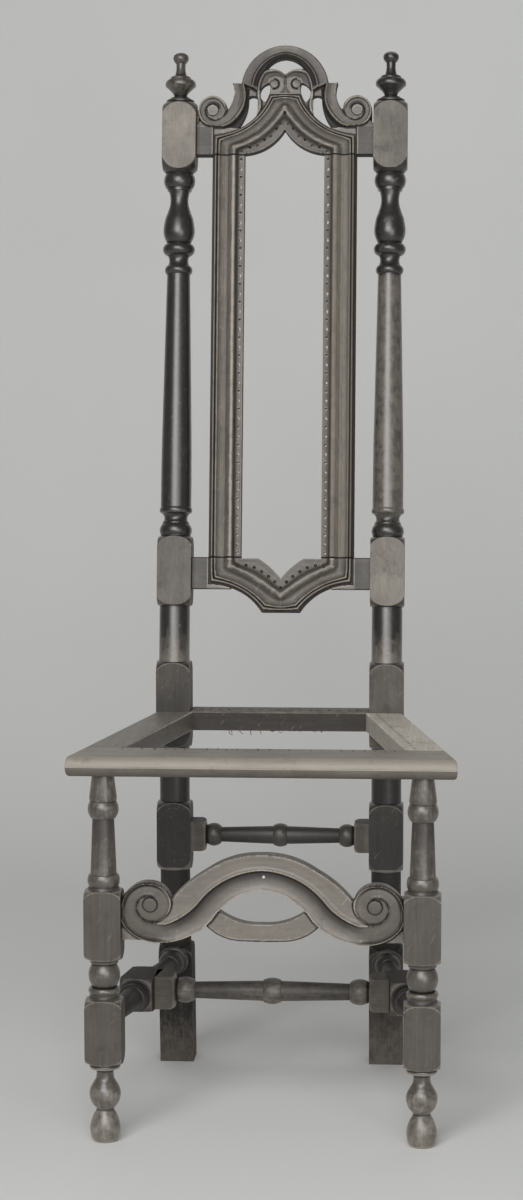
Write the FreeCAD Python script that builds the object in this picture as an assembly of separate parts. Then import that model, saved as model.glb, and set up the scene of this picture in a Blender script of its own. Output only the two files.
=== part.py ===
import FreeCAD, Part
import math
import os

# A tall-back side chair of turned and carved wood, in the style of about 1700. Its cane is gone.
# X runs across the chair, Y from its front to its back, and Z up from the floor.
# All lengths are in millimetres and all angles in degrees. Each piece is drawn on the right-hand
# side of the chair as seen from the front, and its left-hand partner is the mirror image.

vec = FreeCAD.Vector

# Driving dimensions
seat_height = 478.5
seat_thickness = 25.0
leg_stock = 44.5
front_leg_spread = 384.0
back_post_spread = 279.0
frame_depth = 355.0
stretcher_height = 143.0
front_stretcher_low = 249.0
front_stretcher_tall = 112.0
rear_stretcher_below_seat = 167.0
panel_rise = 136.4
stile_length = 533.0
panel_width = 191.0
crest_height = 145.8
back_rake = 9.54
foot_rake = 7.25

# Clearance round every tenon and peg, and how far a cutter runs past what it cuts
fit_gap = 0.15
overrun = 5.0

# Square tenons, and the pegs driven through them from behind, below or outside
tenon_thickness = 9.0
tenon_length = 24.0
peg_diameter = 7.0
peg_setback = 9.0
peg_end_cover = 8.0

half_stock = leg_stock / 2
leg_x = front_leg_spread / 2
post_x = back_post_spread / 2
post_inner = post_x - half_stock
post_front = frame_depth - half_stock
rail_low = seat_height - seat_thickness
rear_stretcher_height = seat_height - rear_stretcher_below_seat


def box(low, high):
    """A box between two corners."""
    size = high - low
    return Part.makeBox(size.x, size.y, size.z, low)


def mortise(low, high):
    """The hole that takes the tenon between two corners, with its clearance."""
    room = vec(fit_gap, fit_gap, fit_gap)
    return box(low - room, high + room)


def rod(diameter, length, start, direction):
    return Part.makeCylinder(diameter / 2, length, start, direction)


def rod_hole(diameter, length, start, direction):
    """The hole that takes a round tenon or a peg, with its clearance, and open past its mouth."""
    outside = start - direction * overrun
    return Part.makeCylinder(diameter / 2 + fit_gap, length + overrun + fit_gap, outside, direction)


def mirrored(shape):
    return shape.mirror(vec(0, 0, 0), vec(1, 0, 0))


def both_sides(half):
    """A piece that crosses the middle of the chair, from its right-hand half."""
    return half.fuse(mirrored(half)).removeSplitter()


def joined(shapes):
    return shapes[0].fuse(shapes[1:]).removeSplitter()


right = vec(1, 0, 0)
backward = vec(0, 1, 0)
upward = vec(0, 0, 1)

# Turned work. A square block's corners stand out beyond its faces, so its ends are rounded off on
# the lathe, and each flat face ends in an arc. The shares are of half the stock's width across,
# and of the height of that rounding along the axis.
neck_share = 0.88
block_end_shares = ((neck_share, -0.107), (1.25, 0.339), (1.46, 1.1))


class Turning:
    """Half the outline of a turned piece, drawn up from the bottom of its axis."""

    def __init__(self, bottom, half_width):
        self.bottom = bottom
        self.unit = half_width
        self.here = vec(0, 0, bottom)
        self.edges = []

    def draw(self, curve, end):
        self.edges.append(curve.toShape())
        self.here = end

    def line(self, radius, height):
        end = vec(radius, 0, height)
        self.draw(Part.LineSegment(self.here, end), end)

    def bead(self, radius, height, middle_radius):
        """An arc out to a bead, or in to a cove, whose middle has its own radius."""
        middle = vec(middle_radius, 0, (self.here.z + height) / 2)
        end = vec(radius, 0, height)
        self.draw(Part.Arc(self.here, middle, end), end)

    def curve(self, points):
        spline = Part.BSplineCurve()
        spline.interpolate([self.here] + points)
        self.draw(spline, points[-1])

    def stretch(self, low, high, shares):
        """The forms between two heights, as shares of that stretch and of half the stock."""
        for form, *places in shares:
            if form == "curve":
                self.curve([vec(r * self.unit, 0, low + (high - low) * h) for h, r in places])
                continue
            height = low + (high - low) * places[0]
            if form == "line":
                self.line(places[1] * self.unit, height)
            else:
                self.bead(places[1] * self.unit, height, places[2] * self.unit)

    def block_end(self, face_end, rounding):
        """One rounded end of a square block: its lower end if the rounding is positive."""
        places = [vec(r * self.unit, 0, face_end + rounding * h) for r, h in block_end_shares]
        if rounding < 0:
            places.reverse()
        self.line(places[0].x, places[0].z)
        self.draw(Part.Arc(*places), places[-1])

    def block(self, low, high, rounding_low, rounding_high):
        self.block_end(low, rounding_low)
        self.block_end(high, -rounding_high)

    def mirror_at(self, height):
        """Draw the rest of the outline as the mirror image of what is drawn."""
        middle = vec(0, 0, height)
        self.edges += [edge.mirror(middle, upward) for edge in reversed(self.edges)]
        self.here = vec(0, 0, 2 * height - self.bottom)

    def solid(self):
        """The outline turned about its axis and cut from square stock."""
        if self.here.x > 0:
            self.line(0, self.here.z)
        axis = Part.LineSegment(self.here, vec(0, 0, self.bottom)).toShape()
        wire = Part.Wire(Part.__sortEdges__(self.edges + [axis]))
        turned = Part.Face(wire).revolve(vec(0, 0, 0), upward, 360)
        stock = box(vec(-self.unit, -self.unit, self.bottom), vec(self.unit, self.unit, self.here.z))
        return turned.common(stock)


# Places along the back posts. The posts bend back at the top of the seat block, and the feet just
# above the bottom of the stretcher block. Heights above the back's bend run along the raked post,
# on a post that is drawn upright and leant back when it is finished.
foot_block_over = 17.0
stretcher_block_reach = 44.5
seat_block_below = 48.5
seat_block_above = 63.5
foot_bend_rise = 8.0
panel_block_below = 63.0
panel_block_above = 26.6
crest_block_below = 19.4
crest_block_above = 69.0
finial_height = 70.0

foot_block_high = stretcher_height + foot_block_over
stretcher_block_low = rear_stretcher_height - stretcher_block_reach
stretcher_block_high = rear_stretcher_height + stretcher_block_reach
seat_block_low = seat_height - seat_block_below
back_bend = seat_height + seat_block_above
foot_bend = stretcher_block_low + foot_bend_rise
panel_low = back_bend + panel_rise
crest_low = panel_low + stile_length
panel_block_low = panel_low - panel_block_below
panel_block_high = panel_low + panel_block_above
crest_block_low = crest_low - crest_block_below
crest_block_high = crest_low + crest_block_above


def leant_back(shape):
    """From the upright in which the back is drawn to its rake."""
    return shape.rotated(vec(0, frame_depth, back_bend), right, -back_rake)


# How far the raked back reaches down into the seat block
bend_sink = 8.0

# How far the corners of each block are rounded off below and above its flat faces
foot_block_rounding = 12.0
post_block_rounding = 14.0
crest_block_rounding_low = 21.0
crest_block_rounding_high = 13.0

# The turned stretches of a back post: form, height, radius, and a bead's or cove's middle radius
waist_share = 0.90
post_column_shares = (
    ("line", 0.006, 0.88),
    ("bead", 0.035, 0.80, 0.95),
    ("line", 0.040, 0.79),
    ("line", 0.041, 0.76),
    ("bead", 0.065, 0.86, 0.685),
    ("line", 0.066, 0.93),
    ("bead", 0.079, 0.93, 0.965),
    ("line", 0.081, 0.905),
    ("curve", (0.22, 0.892), (0.384, 0.828), (0.548, 0.757), (0.7156, 0.682)),
    ("line", 0.7160, 0.72),
    ("bead", 0.738, 0.70, 0.82),
    ("line", 0.7385, 0.66),
    ("bead", 0.767, 0.66, 0.571),
    ("line", 0.768, 0.75),
    ("bead", 0.7988, 0.75, 0.948),
    ("line", 0.7995, 0.675),
    ("curve", (0.8162, 0.863), (0.8360, 0.931), (0.8655, 0.84), (0.884, 0.697), (0.905, 0.56),
     (0.9240, 0.538), (0.9430, 0.62)),
    ("line", 0.9435, 0.72),
    ("line", 0.9517, 0.72),
    ("line", 0.9520, 0.80),
    ("bead", 0.9908, 0.80, 0.93),
)
finial_shares = (
    ("line", 0.060, 0.66),
    ("line", 0.085, 0.64),
    ("curve", (0.136, 0.39), (0.179, 0.45), (0.264, 0.73), (0.293, 0.81)),
    ("line", 0.297, 0.88),
    ("bead", 0.42, 0.85, 0.935),
    ("line", 0.52, 0.60),
    ("line", 0.525, 0.42),
    ("curve", (0.56, 0.355), (0.68, 0.30), (0.79, 0.305)),
    ("line", 0.80, 0.36),
    ("curve", (0.855, 0.47), (0.90, 0.49), (0.95, 0.42), (0.99, 0.20), (1.0, 0.0)),
)


def post_below_seat():
    """The upright middle of the post, with the stretcher block and the seat block."""
    turning = Turning(stretcher_block_low + post_block_rounding * block_end_shares[0][1], half_stock)
    turning.block(stretcher_block_low, stretcher_block_high, post_block_rounding, post_block_rounding)
    turning.block(seat_block_low, back_bend, post_block_rounding, post_block_rounding)
    return turning.solid()


def post_foot():
    """The raked foot: a square block with a turned neck that runs up into the stretcher block."""
    foot_sink = half_stock
    turning = Turning(-foot_sink, half_stock)
    turning.line(half_stock * block_end_shares[-1][0], -foot_sink)
    turning.block_end(foot_block_high, -foot_block_rounding)
    turning.line(half_stock * neck_share, foot_bend)
    raked = turning.solid().rotated(vec(0, 0, foot_bend), right, foot_rake)
    above_floor = box(vec(-leg_stock, -leg_stock, 0), vec(leg_stock, leg_stock + foot_bend, foot_bend))
    return raked.common(above_floor)


def post_back():
    """The raked back: turned column and finial, with the blocks that carry the panel and the crest."""
    turning = Turning(back_bend - bend_sink, half_stock)
    turning.line(half_stock * waist_share, back_bend - bend_sink)
    turning.line(half_stock * waist_share, panel_block_low - post_block_rounding / 2)
    turning.block(panel_block_low, panel_block_high, post_block_rounding, post_block_rounding)
    turning.stretch(panel_block_high, crest_block_low, post_column_shares)
    turning.block(crest_block_low, crest_block_high, crest_block_rounding_low, crest_block_rounding_high)
    turning.stretch(crest_block_high, crest_block_high + finial_height, finial_shares)
    return turning.solid()


def on_post(shape):
    return shape.translated(vec(post_x, frame_depth, 0))


# Seat frame. The outer edges of the side rails run from the front rail's nose to the outer faces
# of the back posts, and the rails' inner edges carry the holes for the cane.
seat_width = 468.0
front_rail_overhang = 40.0
front_rail_depth = 74.0
side_rail_width = 48.5
seat_edge_radius = 5.0
leg_tenon_diameter = 20.0
leg_tenon_length = 17.0
side_tenon_width = 24.0
side_tenon_length_front = 20.0
side_tenon_length_rear = 15.0
rear_rail_tenon_setback = 5.0
rear_rail_tenon_width = 20.0
cane_hole = 3.5
seat_hole_spacing = 12.5
seat_hole_inset = 12.0

front_rail_front = -front_rail_overhang
front_rail_back = front_rail_front + front_rail_depth
rail_middle = rail_low + seat_thickness / 2
seat_splay_share = (seat_width / 2 - post_x - half_stock) / (post_front - front_rail_front)


def seat_outer(y):
    """Half the seat's width at a place between its front and the posts."""
    return seat_width / 2 - (y - front_rail_front) * seat_splay_share


def hole_row(start, end, through, low, spacing):
    """A row of evenly spaced holes from start to end, with one at each end."""
    run = end - start
    gaps = max(1, math.floor(run.Length / spacing))
    holes = []
    for number in range(gaps + 1):
        place = start + run * (number / gaps)
        holes.append(Part.makeCylinder(cane_hole / 2, through, vec(place.x, place.y, low), upward))
    return holes


def seat_holes(start, end):
    return hole_row(start, end, seat_thickness + 2 * overrun, rail_low - overrun, seat_hole_spacing)


def leg_tenon_hole():
    start = vec(leg_x, 0, rail_low)
    return rod_hole(leg_tenon_diameter, leg_tenon_length, start, upward)


side_front_middle = seat_outer(front_rail_back) - side_rail_width / 2
side_tenon_front = (
    vec(side_front_middle - side_tenon_width / 2, front_rail_back - side_tenon_length_front,
        rail_middle - tenon_thickness / 2),
    vec(side_front_middle + side_tenon_width / 2, front_rail_back, rail_middle + tenon_thickness / 2),
)
side_tenon_rear = (
    vec(post_x - side_tenon_width / 2, post_front, rail_middle - tenon_thickness / 2),
    vec(post_x + side_tenon_width / 2, post_front + side_tenon_length_rear,
        rail_middle + tenon_thickness / 2),
)
rear_rail_tenon_front = post_front + side_tenon_length_rear + rear_rail_tenon_setback
rear_rail_tenon = (
    vec(post_inner, rear_rail_tenon_front, rail_middle - tenon_thickness / 2),
    vec(post_inner + tenon_length, rear_rail_tenon_front + rear_rail_tenon_width,
        rail_middle + tenon_thickness / 2),
)


def front_seat_rail():
    """A flat rail with a round nose, its ends cut to the splay of the seat."""
    nose_radius = seat_thickness / 2
    nose_middle = front_rail_front + nose_radius
    corners = [
        vec(0, nose_middle, rail_low),
        vec(0, front_rail_back, rail_low),
        vec(0, front_rail_back, seat_height),
        vec(0, nose_middle, seat_height),
    ]
    nose = Part.Arc(corners[-1], vec(0, front_rail_front, rail_middle), corners[0]).toShape()
    outline = Part.Wire(Part.makePolygon(corners).Edges + [nose])
    half = Part.Face(outline).extrude(vec(seat_width, 0, 0))
    end = [
        vec(0, front_rail_front - overrun, rail_low - overrun),
        vec(seat_outer(front_rail_front - overrun), front_rail_front - overrun, rail_low - overrun),
        vec(seat_outer(front_rail_back + overrun), front_rail_back + overrun, rail_low - overrun),
        vec(0, front_rail_back + overrun, rail_low - overrun),
    ]
    plan = Part.Face(Part.makePolygon(end + end[:1]))
    half = half.common(plan.extrude(vec(0, 0, seat_thickness + 2 * overrun)))
    end_face = max(half.Faces, key=lambda face: face.CenterOfMass.x)
    rounded = [edge for edge in end_face.Edges if edge.CenterOfMass.y < front_rail_back - fit_gap]
    half = half.makeFillet(seat_edge_radius, rounded)
    rail = both_sides(half)
    row_end = vec(side_front_middle - side_rail_width / 2, front_rail_back - seat_hole_inset, 0)
    cuts = seat_holes(vec(-row_end.x, row_end.y, 0), row_end)
    for side in (leg_tenon_hole(), mortise(*side_tenon_front), front_rail_peg_hole()):
        cuts += [side, mirrored(side)]
    return rail.cut(cuts)


def side_seat_rail():
    """A splayed side rail, tenoned into the front rail and into the post."""
    outer = seat_outer(front_rail_back)
    inner = outer - side_rail_width
    radius = seat_edge_radius
    bend_share = 1 - math.sqrt(1 / 2)
    low_bend = vec(outer - radius * bend_share, front_rail_back, rail_low + radius * bend_share)
    high_bend = vec(outer - radius * bend_share, front_rail_back, seat_height - radius * bend_share)
    places = [
        vec(inner, front_rail_back, rail_low),
        vec(outer - radius, front_rail_back, rail_low),
        vec(outer, front_rail_back, rail_low + radius),
        vec(outer, front_rail_back, seat_height - radius),
        vec(outer - radius, front_rail_back, seat_height),
        vec(inner, front_rail_back, seat_height),
    ]
    edges = [
        Part.makeLine(places[0], places[1]),
        Part.Arc(places[1], low_bend, places[2]).toShape(),
        Part.makeLine(places[2], places[3]),
        Part.Arc(places[3], high_bend, places[4]).toShape(),
        Part.makeLine(places[4], places[5]),
        Part.makeLine(places[5], places[0]),
    ]
    run = post_front - front_rail_back
    body = Part.Face(Part.Wire(edges)).extrude(vec(-run * seat_splay_share, run, 0))
    rail = joined([body, box(*side_tenon_front), box(*side_tenon_rear)])
    row_x = inner + seat_hole_inset
    row_start = vec(row_x, front_rail_back, 0)
    row = vec(-run * seat_splay_share, run, 0)
    inset_share = seat_hole_inset / run
    cuts = seat_holes(row_start + row * inset_share, row_start + row * (1 - inset_share))
    return rail.cut(cuts + [front_rail_peg_hole(), side_rail_peg_hole()])


def rear_seat_rail():
    """A straight rail between the posts, with cane holes along its middle."""
    body = box(vec(-post_inner, post_front, rail_low), vec(post_inner, post_front + leg_stock, seat_height))
    tenon = box(*rear_rail_tenon)
    row_end = vec(post_inner - seat_hole_inset, frame_depth - half_stock / 4, 0)
    cuts = seat_holes(vec(-row_end.x, row_end.y, 0), row_end)
    cuts += [rear_rail_peg_hole(), mirrored(rear_rail_peg_hole())]
    return joined([body, tenon, mirrored(tenon)]).cut(cuts)


# Pegs of the seat frame: where each starts, which way it is driven, and how deep
peg_depth = leg_stock - peg_end_cover
front_rail_peg_length = seat_thickness - peg_end_cover
front_rail_peg = (vec(side_front_middle, front_rail_back - peg_setback, rail_low), upward)
side_rail_peg = (vec(post_x + half_stock, post_front + side_tenon_length_rear / 2, rail_middle), -right)
rear_rail_peg = (vec(post_inner + peg_setback, post_front + leg_stock, rail_middle), -backward)
rear_rail_peg_length = leg_stock - side_tenon_length_rear - rear_rail_tenon_setback


def front_rail_peg_hole():
    return rod_hole(peg_diameter, front_rail_peg_length, *front_rail_peg)


def side_rail_peg_hole():
    return rod_hole(peg_diameter, peg_depth, *side_rail_peg)


def rear_rail_peg_hole():
    return rod_hole(peg_diameter, rear_rail_peg_length, *rear_rail_peg)


# Front legs: two square blocks, with turned work below, between and above them
leg_low_block_below = 45.0
leg_low_block_above = 34.0
leg_high_block_below = 22.0
leg_high_block_above = 62.0
leg_block_rounding = 9.0

leg_low_block_low = stretcher_height - leg_low_block_below
leg_low_block_high = stretcher_height + leg_low_block_above
leg_high_block_low = front_stretcher_low - leg_high_block_below
leg_high_block_high = front_stretcher_low + leg_high_block_above

leg_foot_shares = (
    ("line", 0.0, 0.55),
    ("curve", (0.06, 0.76), (0.17, 0.843), (0.29, 0.72), (0.37, 0.53), (0.42, 0.434)),
    ("curve", (0.50, 0.62), (0.56, 0.78), (0.62, 0.85), (0.70, 0.79), (0.78, 0.62), (0.85, 0.49),
     (0.90, 0.463), (0.925, 0.50)),
    ("line", 0.93, 0.80),
    ("bead", 0.985, 0.80, 0.85),
)
leg_knop_shares = (
    ("line", 0.06, 0.80),
    ("line", 0.13, 0.80),
    ("bead", 0.28, 0.80, 0.872),
    ("line", 0.285, 0.62),
    ("bead", 0.88, 0.62, 0.861),
    ("line", 0.885, 0.76),
    ("line", 0.95, 0.787),
)
leg_baluster_shares = (
    ("line", 0.030, 0.80),
    ("bead", 0.130, 0.80, 0.876),
    ("line", 0.133, 0.72),
    ("line", 0.145, 0.708),
    ("line", 0.61, 0.589),
    ("line", 0.613, 0.66),
    ("bead", 0.765, 0.68, 0.838),
    ("line", 0.768, 0.74),
    ("line", 0.79, 0.753),
    ("line", 1.0, 0.584),
)


def front_leg():
    turning = Turning(0, half_stock)
    turning.stretch(0, leg_low_block_low, leg_foot_shares)
    turning.block(leg_low_block_low, leg_low_block_high, leg_block_rounding, leg_block_rounding)
    turning.stretch(leg_low_block_high, leg_high_block_low, leg_knop_shares)
    turning.block(leg_high_block_low, leg_high_block_high, leg_block_rounding, leg_block_rounding)
    turning.stretch(leg_high_block_high, rail_low, leg_baluster_shares)
    turning.line(leg_tenon_diameter / 2, rail_low)
    turning.line(leg_tenon_diameter / 2, rail_low + leg_tenon_length)
    leg = turning.solid().translated(vec(leg_x, 0, 0))
    return leg.cut([
        mortise(*front_stretcher_tenon),
        front_stretcher_peg_hole(),
        side_tenon_hole_front(),
        side_stretcher_peg_hole_front(),
    ])


# Turned stretchers. The medial and the rear stretcher end in short square blocks, and each side
# stretcher has a square block in its middle that takes the medial stretcher.
side_stretcher_width = 42.0
side_block_length = 70.0
medial_block_length = 20.6
rear_stretcher_width = 38.6
rear_stretcher_block_length = 19.0
stretcher_block_rounding = 6.0
stretcher_end_allowance = 8.0
round_tenon_diameter = 16.0
round_tenon_length = 20.0
medial_tenon_length = 15.0

cross_stretcher_shares = (
    ("line", 0.015, 0.62),
    ("bead", 0.205, 0.58, 0.785),
    ("line", 0.208, 0.50),
    ("line", 0.908, 0.61),
    ("line", 0.912, 0.68),
    ("bead", 1.0, 0.80, 0.768),
)
side_stretcher_shares = (
    ("line", 0.005, 0.80),
    ("bead", 0.060, 0.80, 0.90),
    ("line", 0.065, 0.60),
    ("bead", 0.25, 0.58, 0.80),
    ("line", 0.255, 0.50),
    ("line", 0.86, 0.70),
    ("line", 0.865, 0.76),
    ("bead", 0.935, 0.76, 0.86),
    ("line", 0.94, 0.72),
)

foot_front = frame_depth + (foot_bend - stretcher_height) * math.tan(math.radians(foot_rake))
foot_front = foot_front - half_stock / math.cos(math.radians(foot_rake))
side_start = vec(leg_x, half_stock, stretcher_height)
side_end = vec(post_x, foot_front, stretcher_height)
side_run = side_end - side_start
side_along = vec(side_run.x / side_run.Length, side_run.y / side_run.Length, 0)
side_splay = math.degrees(math.atan2(-side_run.x, side_run.y))
side_middle = side_start + side_run * (1 / 2)
medial_shoulder = side_middle.x - side_stretcher_width / 2 / math.cos(math.radians(side_splay))


def cross_stretcher(length, width, block_length, allowance):
    """A stretcher that lies across the chair, before its shoulders are trimmed to length."""
    turning = Turning(-allowance, width / 2)
    turning.line(width / 2 * block_end_shares[-1][0], -allowance)
    turning.block_end(block_length, -stretcher_block_rounding)
    turning.stretch(block_length, length / 2, cross_stretcher_shares)
    turning.mirror_at(length / 2)
    lying = turning.solid().rotated(vec(0, 0, 0), backward, 90)
    return lying.translated(vec(-length / 2, 0, 0))


def rear_stretcher():
    inside_block = vec(post_inner - round_tenon_length, frame_depth, rear_stretcher_height)
    body = cross_stretcher(2 * post_inner, rear_stretcher_width, rear_stretcher_block_length, 0)
    body = body.translated(vec(0, frame_depth, rear_stretcher_height))
    tenon = rod(round_tenon_diameter, 2 * round_tenon_length, inside_block, right)
    cuts = [rear_stretcher_peg_hole(), mirrored(rear_stretcher_peg_hole())]
    return joined([body, tenon, mirrored(tenon)]).cut(cuts)


def beside_side_stretcher():
    """A block on the inner side of the right side stretcher's middle block, as far as the middle."""
    room = box(vec(-leg_x, -side_block_length, -leg_stock),
               vec(-side_stretcher_width / 2, side_block_length, leg_stock))
    return room.rotated(vec(0, 0, 0), upward, side_splay).translated(side_middle)


def medial_stretcher():
    body = cross_stretcher(2 * medial_shoulder, side_stretcher_width, medial_block_length,
                           stretcher_end_allowance)
    body = body.translated(vec(0, side_middle.y, stretcher_height))
    half = body.common(beside_side_stretcher())
    whole = both_sides(half.common(box(vec(0, 0, 0), vec(leg_x, frame_depth, frame_depth))))
    start = vec(medial_shoulder - medial_tenon_length, side_middle.y, stretcher_height)
    tenon = rod(round_tenon_diameter, 2 * medial_tenon_length, start, right)
    return joined([whole, tenon, mirrored(tenon)])


def side_stretcher():
    """Turned along its own axis, then laid between leg and post and trimmed to their faces."""
    length = side_run.Length
    turning = Turning(-stretcher_end_allowance, side_stretcher_width / 2)
    turning.line(side_stretcher_width / 2 * side_stretcher_shares[0][2], -stretcher_end_allowance)
    turning.stretch(0, (length - side_block_length) / 2, side_stretcher_shares)
    turning.block_end((length - side_block_length) / 2, stretcher_block_rounding)
    turning.line(turning.here.x, length / 2)
    turning.mirror_at(length / 2)
    lying = turning.solid().rotated(vec(0, 0, 0), right, -90)
    body = lying.rotated(vec(0, 0, 0), upward, side_splay).translated(side_start)
    room = box(vec(0, half_stock, 0), vec(seat_width, frame_depth, seat_height))
    behind = box(vec(0, frame_depth - half_stock, -leg_stock), vec(seat_width, 2 * frame_depth, foot_bend))
    behind = behind.rotated(vec(0, frame_depth, foot_bend), right, foot_rake)
    body = body.common(room).cut(behind)
    inward = side_along * round_tenon_length
    tenons = [
        rod(round_tenon_diameter, 2 * round_tenon_length, place - inward, side_along)
        for place in (side_start, side_end)
    ]
    cuts = [
        rod_hole(round_tenon_diameter, medial_tenon_length,
                 vec(medial_shoulder, side_middle.y, stretcher_height), right),
        side_stretcher_peg_hole_front(),
        side_stretcher_peg_hole_rear(),
    ]
    return joined([body] + tenons).cut(cuts)


def side_tenon_hole_front():
    return rod_hole(round_tenon_diameter, round_tenon_length, side_start, -side_along)


def side_tenon_hole_rear():
    return rod_hole(round_tenon_diameter, round_tenon_length, side_end, side_along)


# Pegs of the stretchers
side_peg_front = (vec(leg_x + half_stock, half_stock - peg_setback, stretcher_height), -right)
side_peg_rear = (vec(post_x + half_stock, foot_front + peg_setback, stretcher_height), -right)
rear_peg = (vec(post_inner + peg_setback, frame_depth + half_stock, rear_stretcher_height), -backward)


def side_stretcher_peg_hole_front():
    return rod_hole(peg_diameter, peg_depth, *side_peg_front)


def side_stretcher_peg_hole_rear():
    return rod_hole(peg_diameter, peg_depth, *side_peg_rear)


def rear_stretcher_peg_hole():
    return rod_hole(peg_diameter, peg_depth, *rear_peg)


# Moulded and carved pieces. A moulding lies between guide lines: its outer edge, its ridge and its
# inner edge. Its profile is a list of shares: 0 to 1 from outer edge to ridge and 1 to 2 from ridge
# to inner edge, each with its depth below the front as a share of the moulding's depth.
panel_front = 14.0
panel_thickness = 24.0
moulding_depth = 9.0
stile_width = 42.75
ridge_setback = 29.3
mitre_rise = 28.7

panel_half = panel_width / 2
ridge_x = panel_half - ridge_setback
inner_x = panel_half - stile_width
panel_moulding_shares = (
    (0.0, 1.0), (0.06, 0.55), (0.12, 0.12), (0.18, 0.0), (0.24, 0.12), (0.27, 0.30), (0.33, 0.22),
    (0.42, 0.55), (0.58, 0.78), (0.74, 0.60), (0.87, 0.22), (1.0, 0.0), (1.22, 0.14), (1.33, 0.52),
    (2.0, 0.52),
)
hole_place_share = 1.62


def plane_point(x, height):
    return vec(x, 0, height)


def line_to(points):
    return [Part.makeLine(start, end) for start, end in zip(points, points[1:])]


def arc_through(start, middle, end):
    return Part.Arc(start, middle, end).toShape()


def sampled(edges, shares):
    """Points along a chain of edges, at shares of its length."""
    total = sum(edge.Length for edge in edges)
    points = []
    for share in shares:
        distance = share * total
        for edge in edges:
            if distance <= edge.Length or edge is edges[-1]:
                parameter = edge.getParameterByLength(min(distance, edge.Length))
                points.append(edge.valueAt(parameter))
                break
            distance -= edge.Length
    return points


def between(guides, station, place):
    outer, ridge, inner = [guide[station] for guide in guides]
    if place <= 1:
        return outer + (ridge - outer) * place
    return ridge + (inner - ridge) * (place - 1)


def moulded_band(guides, profile_shares, front, depth, thickness):
    """A solid of the given profile that follows its guide lines from station to station."""
    sections = []
    for station in range(len(guides[0])):
        points = []
        for place, depth_share in profile_shares:
            point = between(guides, station, place)
            points.append(vec(point.x, depth * depth_share - front, point.z))
        for place in (2, 0):
            point = between(guides, station, place)
            points.append(vec(point.x, thickness - front, point.z))
        sections.append(Part.makePolygon(points + points[:1]))
    return Part.makeLoft(sections, True, True)


def plate(edges, front, thickness):
    """A flat piece of the given outline, from its front back through its thickness."""
    face = Part.Face(Part.Wire(Part.__sortEdges__(edges)))
    return face.translated(vec(0, -front, 0)).extrude(vec(0, thickness, 0))


def panel_hole(x, height):
    start = vec(x, -panel_front - overrun, height)
    return Part.makeCylinder(cane_hole / 2, panel_thickness + 2 * overrun, start, backward)


# Stiles, drawn from their lower end and tenoned into the rails above and below
stile_tenon_width = 20.0
stile_tenon_thickness = 8.0
stile_tenon_length = 16.0
stile_tenon_front = -3.0
stile_hole_spacing = 11.6
stile_tenon_x = (panel_half + inner_x) / 2


def stile_tenon(height, length):
    low = vec(stile_tenon_x - stile_tenon_width / 2, stile_tenon_front, height)
    return low, low + vec(stile_tenon_width, stile_tenon_thickness, length)


def back_stile():
    guides = [[plane_point(x, 0), plane_point(x, stile_length)] for x in (panel_half, ridge_x, inner_x)]
    body = moulded_band(guides, panel_moulding_shares, panel_front, moulding_depth, panel_thickness)
    tenons = [
        box(*stile_tenon(-stile_tenon_length, stile_tenon_length)),
        box(*stile_tenon(stile_length, stile_tenon_length)),
    ]
    gaps = math.floor(stile_length / stile_hole_spacing)
    x = between(guides, 0, hole_place_share).x
    holes = [panel_hole(x, stile_length * (number + 1 / 2) / gaps) for number in range(gaps)]
    return joined([body] + tenons).cut(holes)


# Crest rail, drawn from the middle of its lower edge. Shares are of half the panel's width and of
# the crest's height.
crest_shoulder_height = 43.0
shoulder_recess = 6.0
crest_tenon_margin = 8.0
scroll_recess = 8.0
volute_radius = 19.5
volute_eye_radius = 8.0
volute_eye_rise = 2.0
crest_plate_recess = 2.5
inner_lip = 1.5
crest_hole_spacing = 9.6
guide_steps = 5

volute_share = (1.0, 0.409)
crest_corner_share = (0.226, 0.559)
crest_outer_via_share = (0.558, 0.278)
crest_ridge_corner_share = 0.062
crest_ridge_via_share = (0.352, 0.168)
crest_middle_share = (0.0, 0.425)
crest_inner_via_share = (0.247, 0.071)
crest_inner_peak_share = (0.0, 0.233)


def crest_point(share):
    return plane_point(panel_half * share[0], crest_height * share[1])


def panel_guides(outer_edges, ridge_edges, inner_edges, corner_edge, foot_points):
    """Guide lines from the mitre to the middle, after a first station at the stile's end."""
    corner = corner_edge.Length / sum(edge.Length for edge in outer_edges)
    shares = [corner * step / guide_steps for step in range(guide_steps + 1)] + [1]
    chains = (outer_edges, ridge_edges, inner_edges)
    return [[foot] + sampled(chain, shares) for foot, chain in zip(foot_points, chains)]


def crest_arc(start, via, end):
    return arc_through(crest_point(start), crest_point(via), crest_point(end))


def crest_line(*shares):
    return line_to([crest_point(share) for share in shares])


def crest_guides():
    mitre = plane_point(panel_half, mitre_rise)
    corner = crest_point(crest_corner_share)
    outer = arc_through(mitre, crest_point(crest_outer_via_share), corner)
    ridge_foot = plane_point(ridge_x, crest_height * crest_ridge_corner_share)
    ridge = arc_through(ridge_foot, crest_point(crest_ridge_via_share), crest_point(crest_middle_share))
    inner_foot = plane_point(inner_x, inner_lip)
    inner = arc_through(inner_foot, crest_point(crest_inner_via_share), crest_point(crest_inner_peak_share))
    outer_edges = [outer, Part.makeLine(corner, plane_point(0, corner.z))]
    feet = [plane_point(x, 0) for x in (panel_half, ridge_x, inner_x)]
    return panel_guides(outer_edges, [ridge], [inner], outer, feet)


def guide_holes(guides, spacing):
    """Cane holes along the strip beside the inner edge, from the mitre to the middle."""
    places = [between(guides, station, hole_place_share) for station in range(1, len(guides[0]))]
    chain = line_to(places)
    gaps = math.floor(sum(edge.Length for edge in chain) / spacing)
    return [panel_hole(point.x, point.z) for point in sampled(chain, [n / gaps for n in range(gaps + 1)])]


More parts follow.
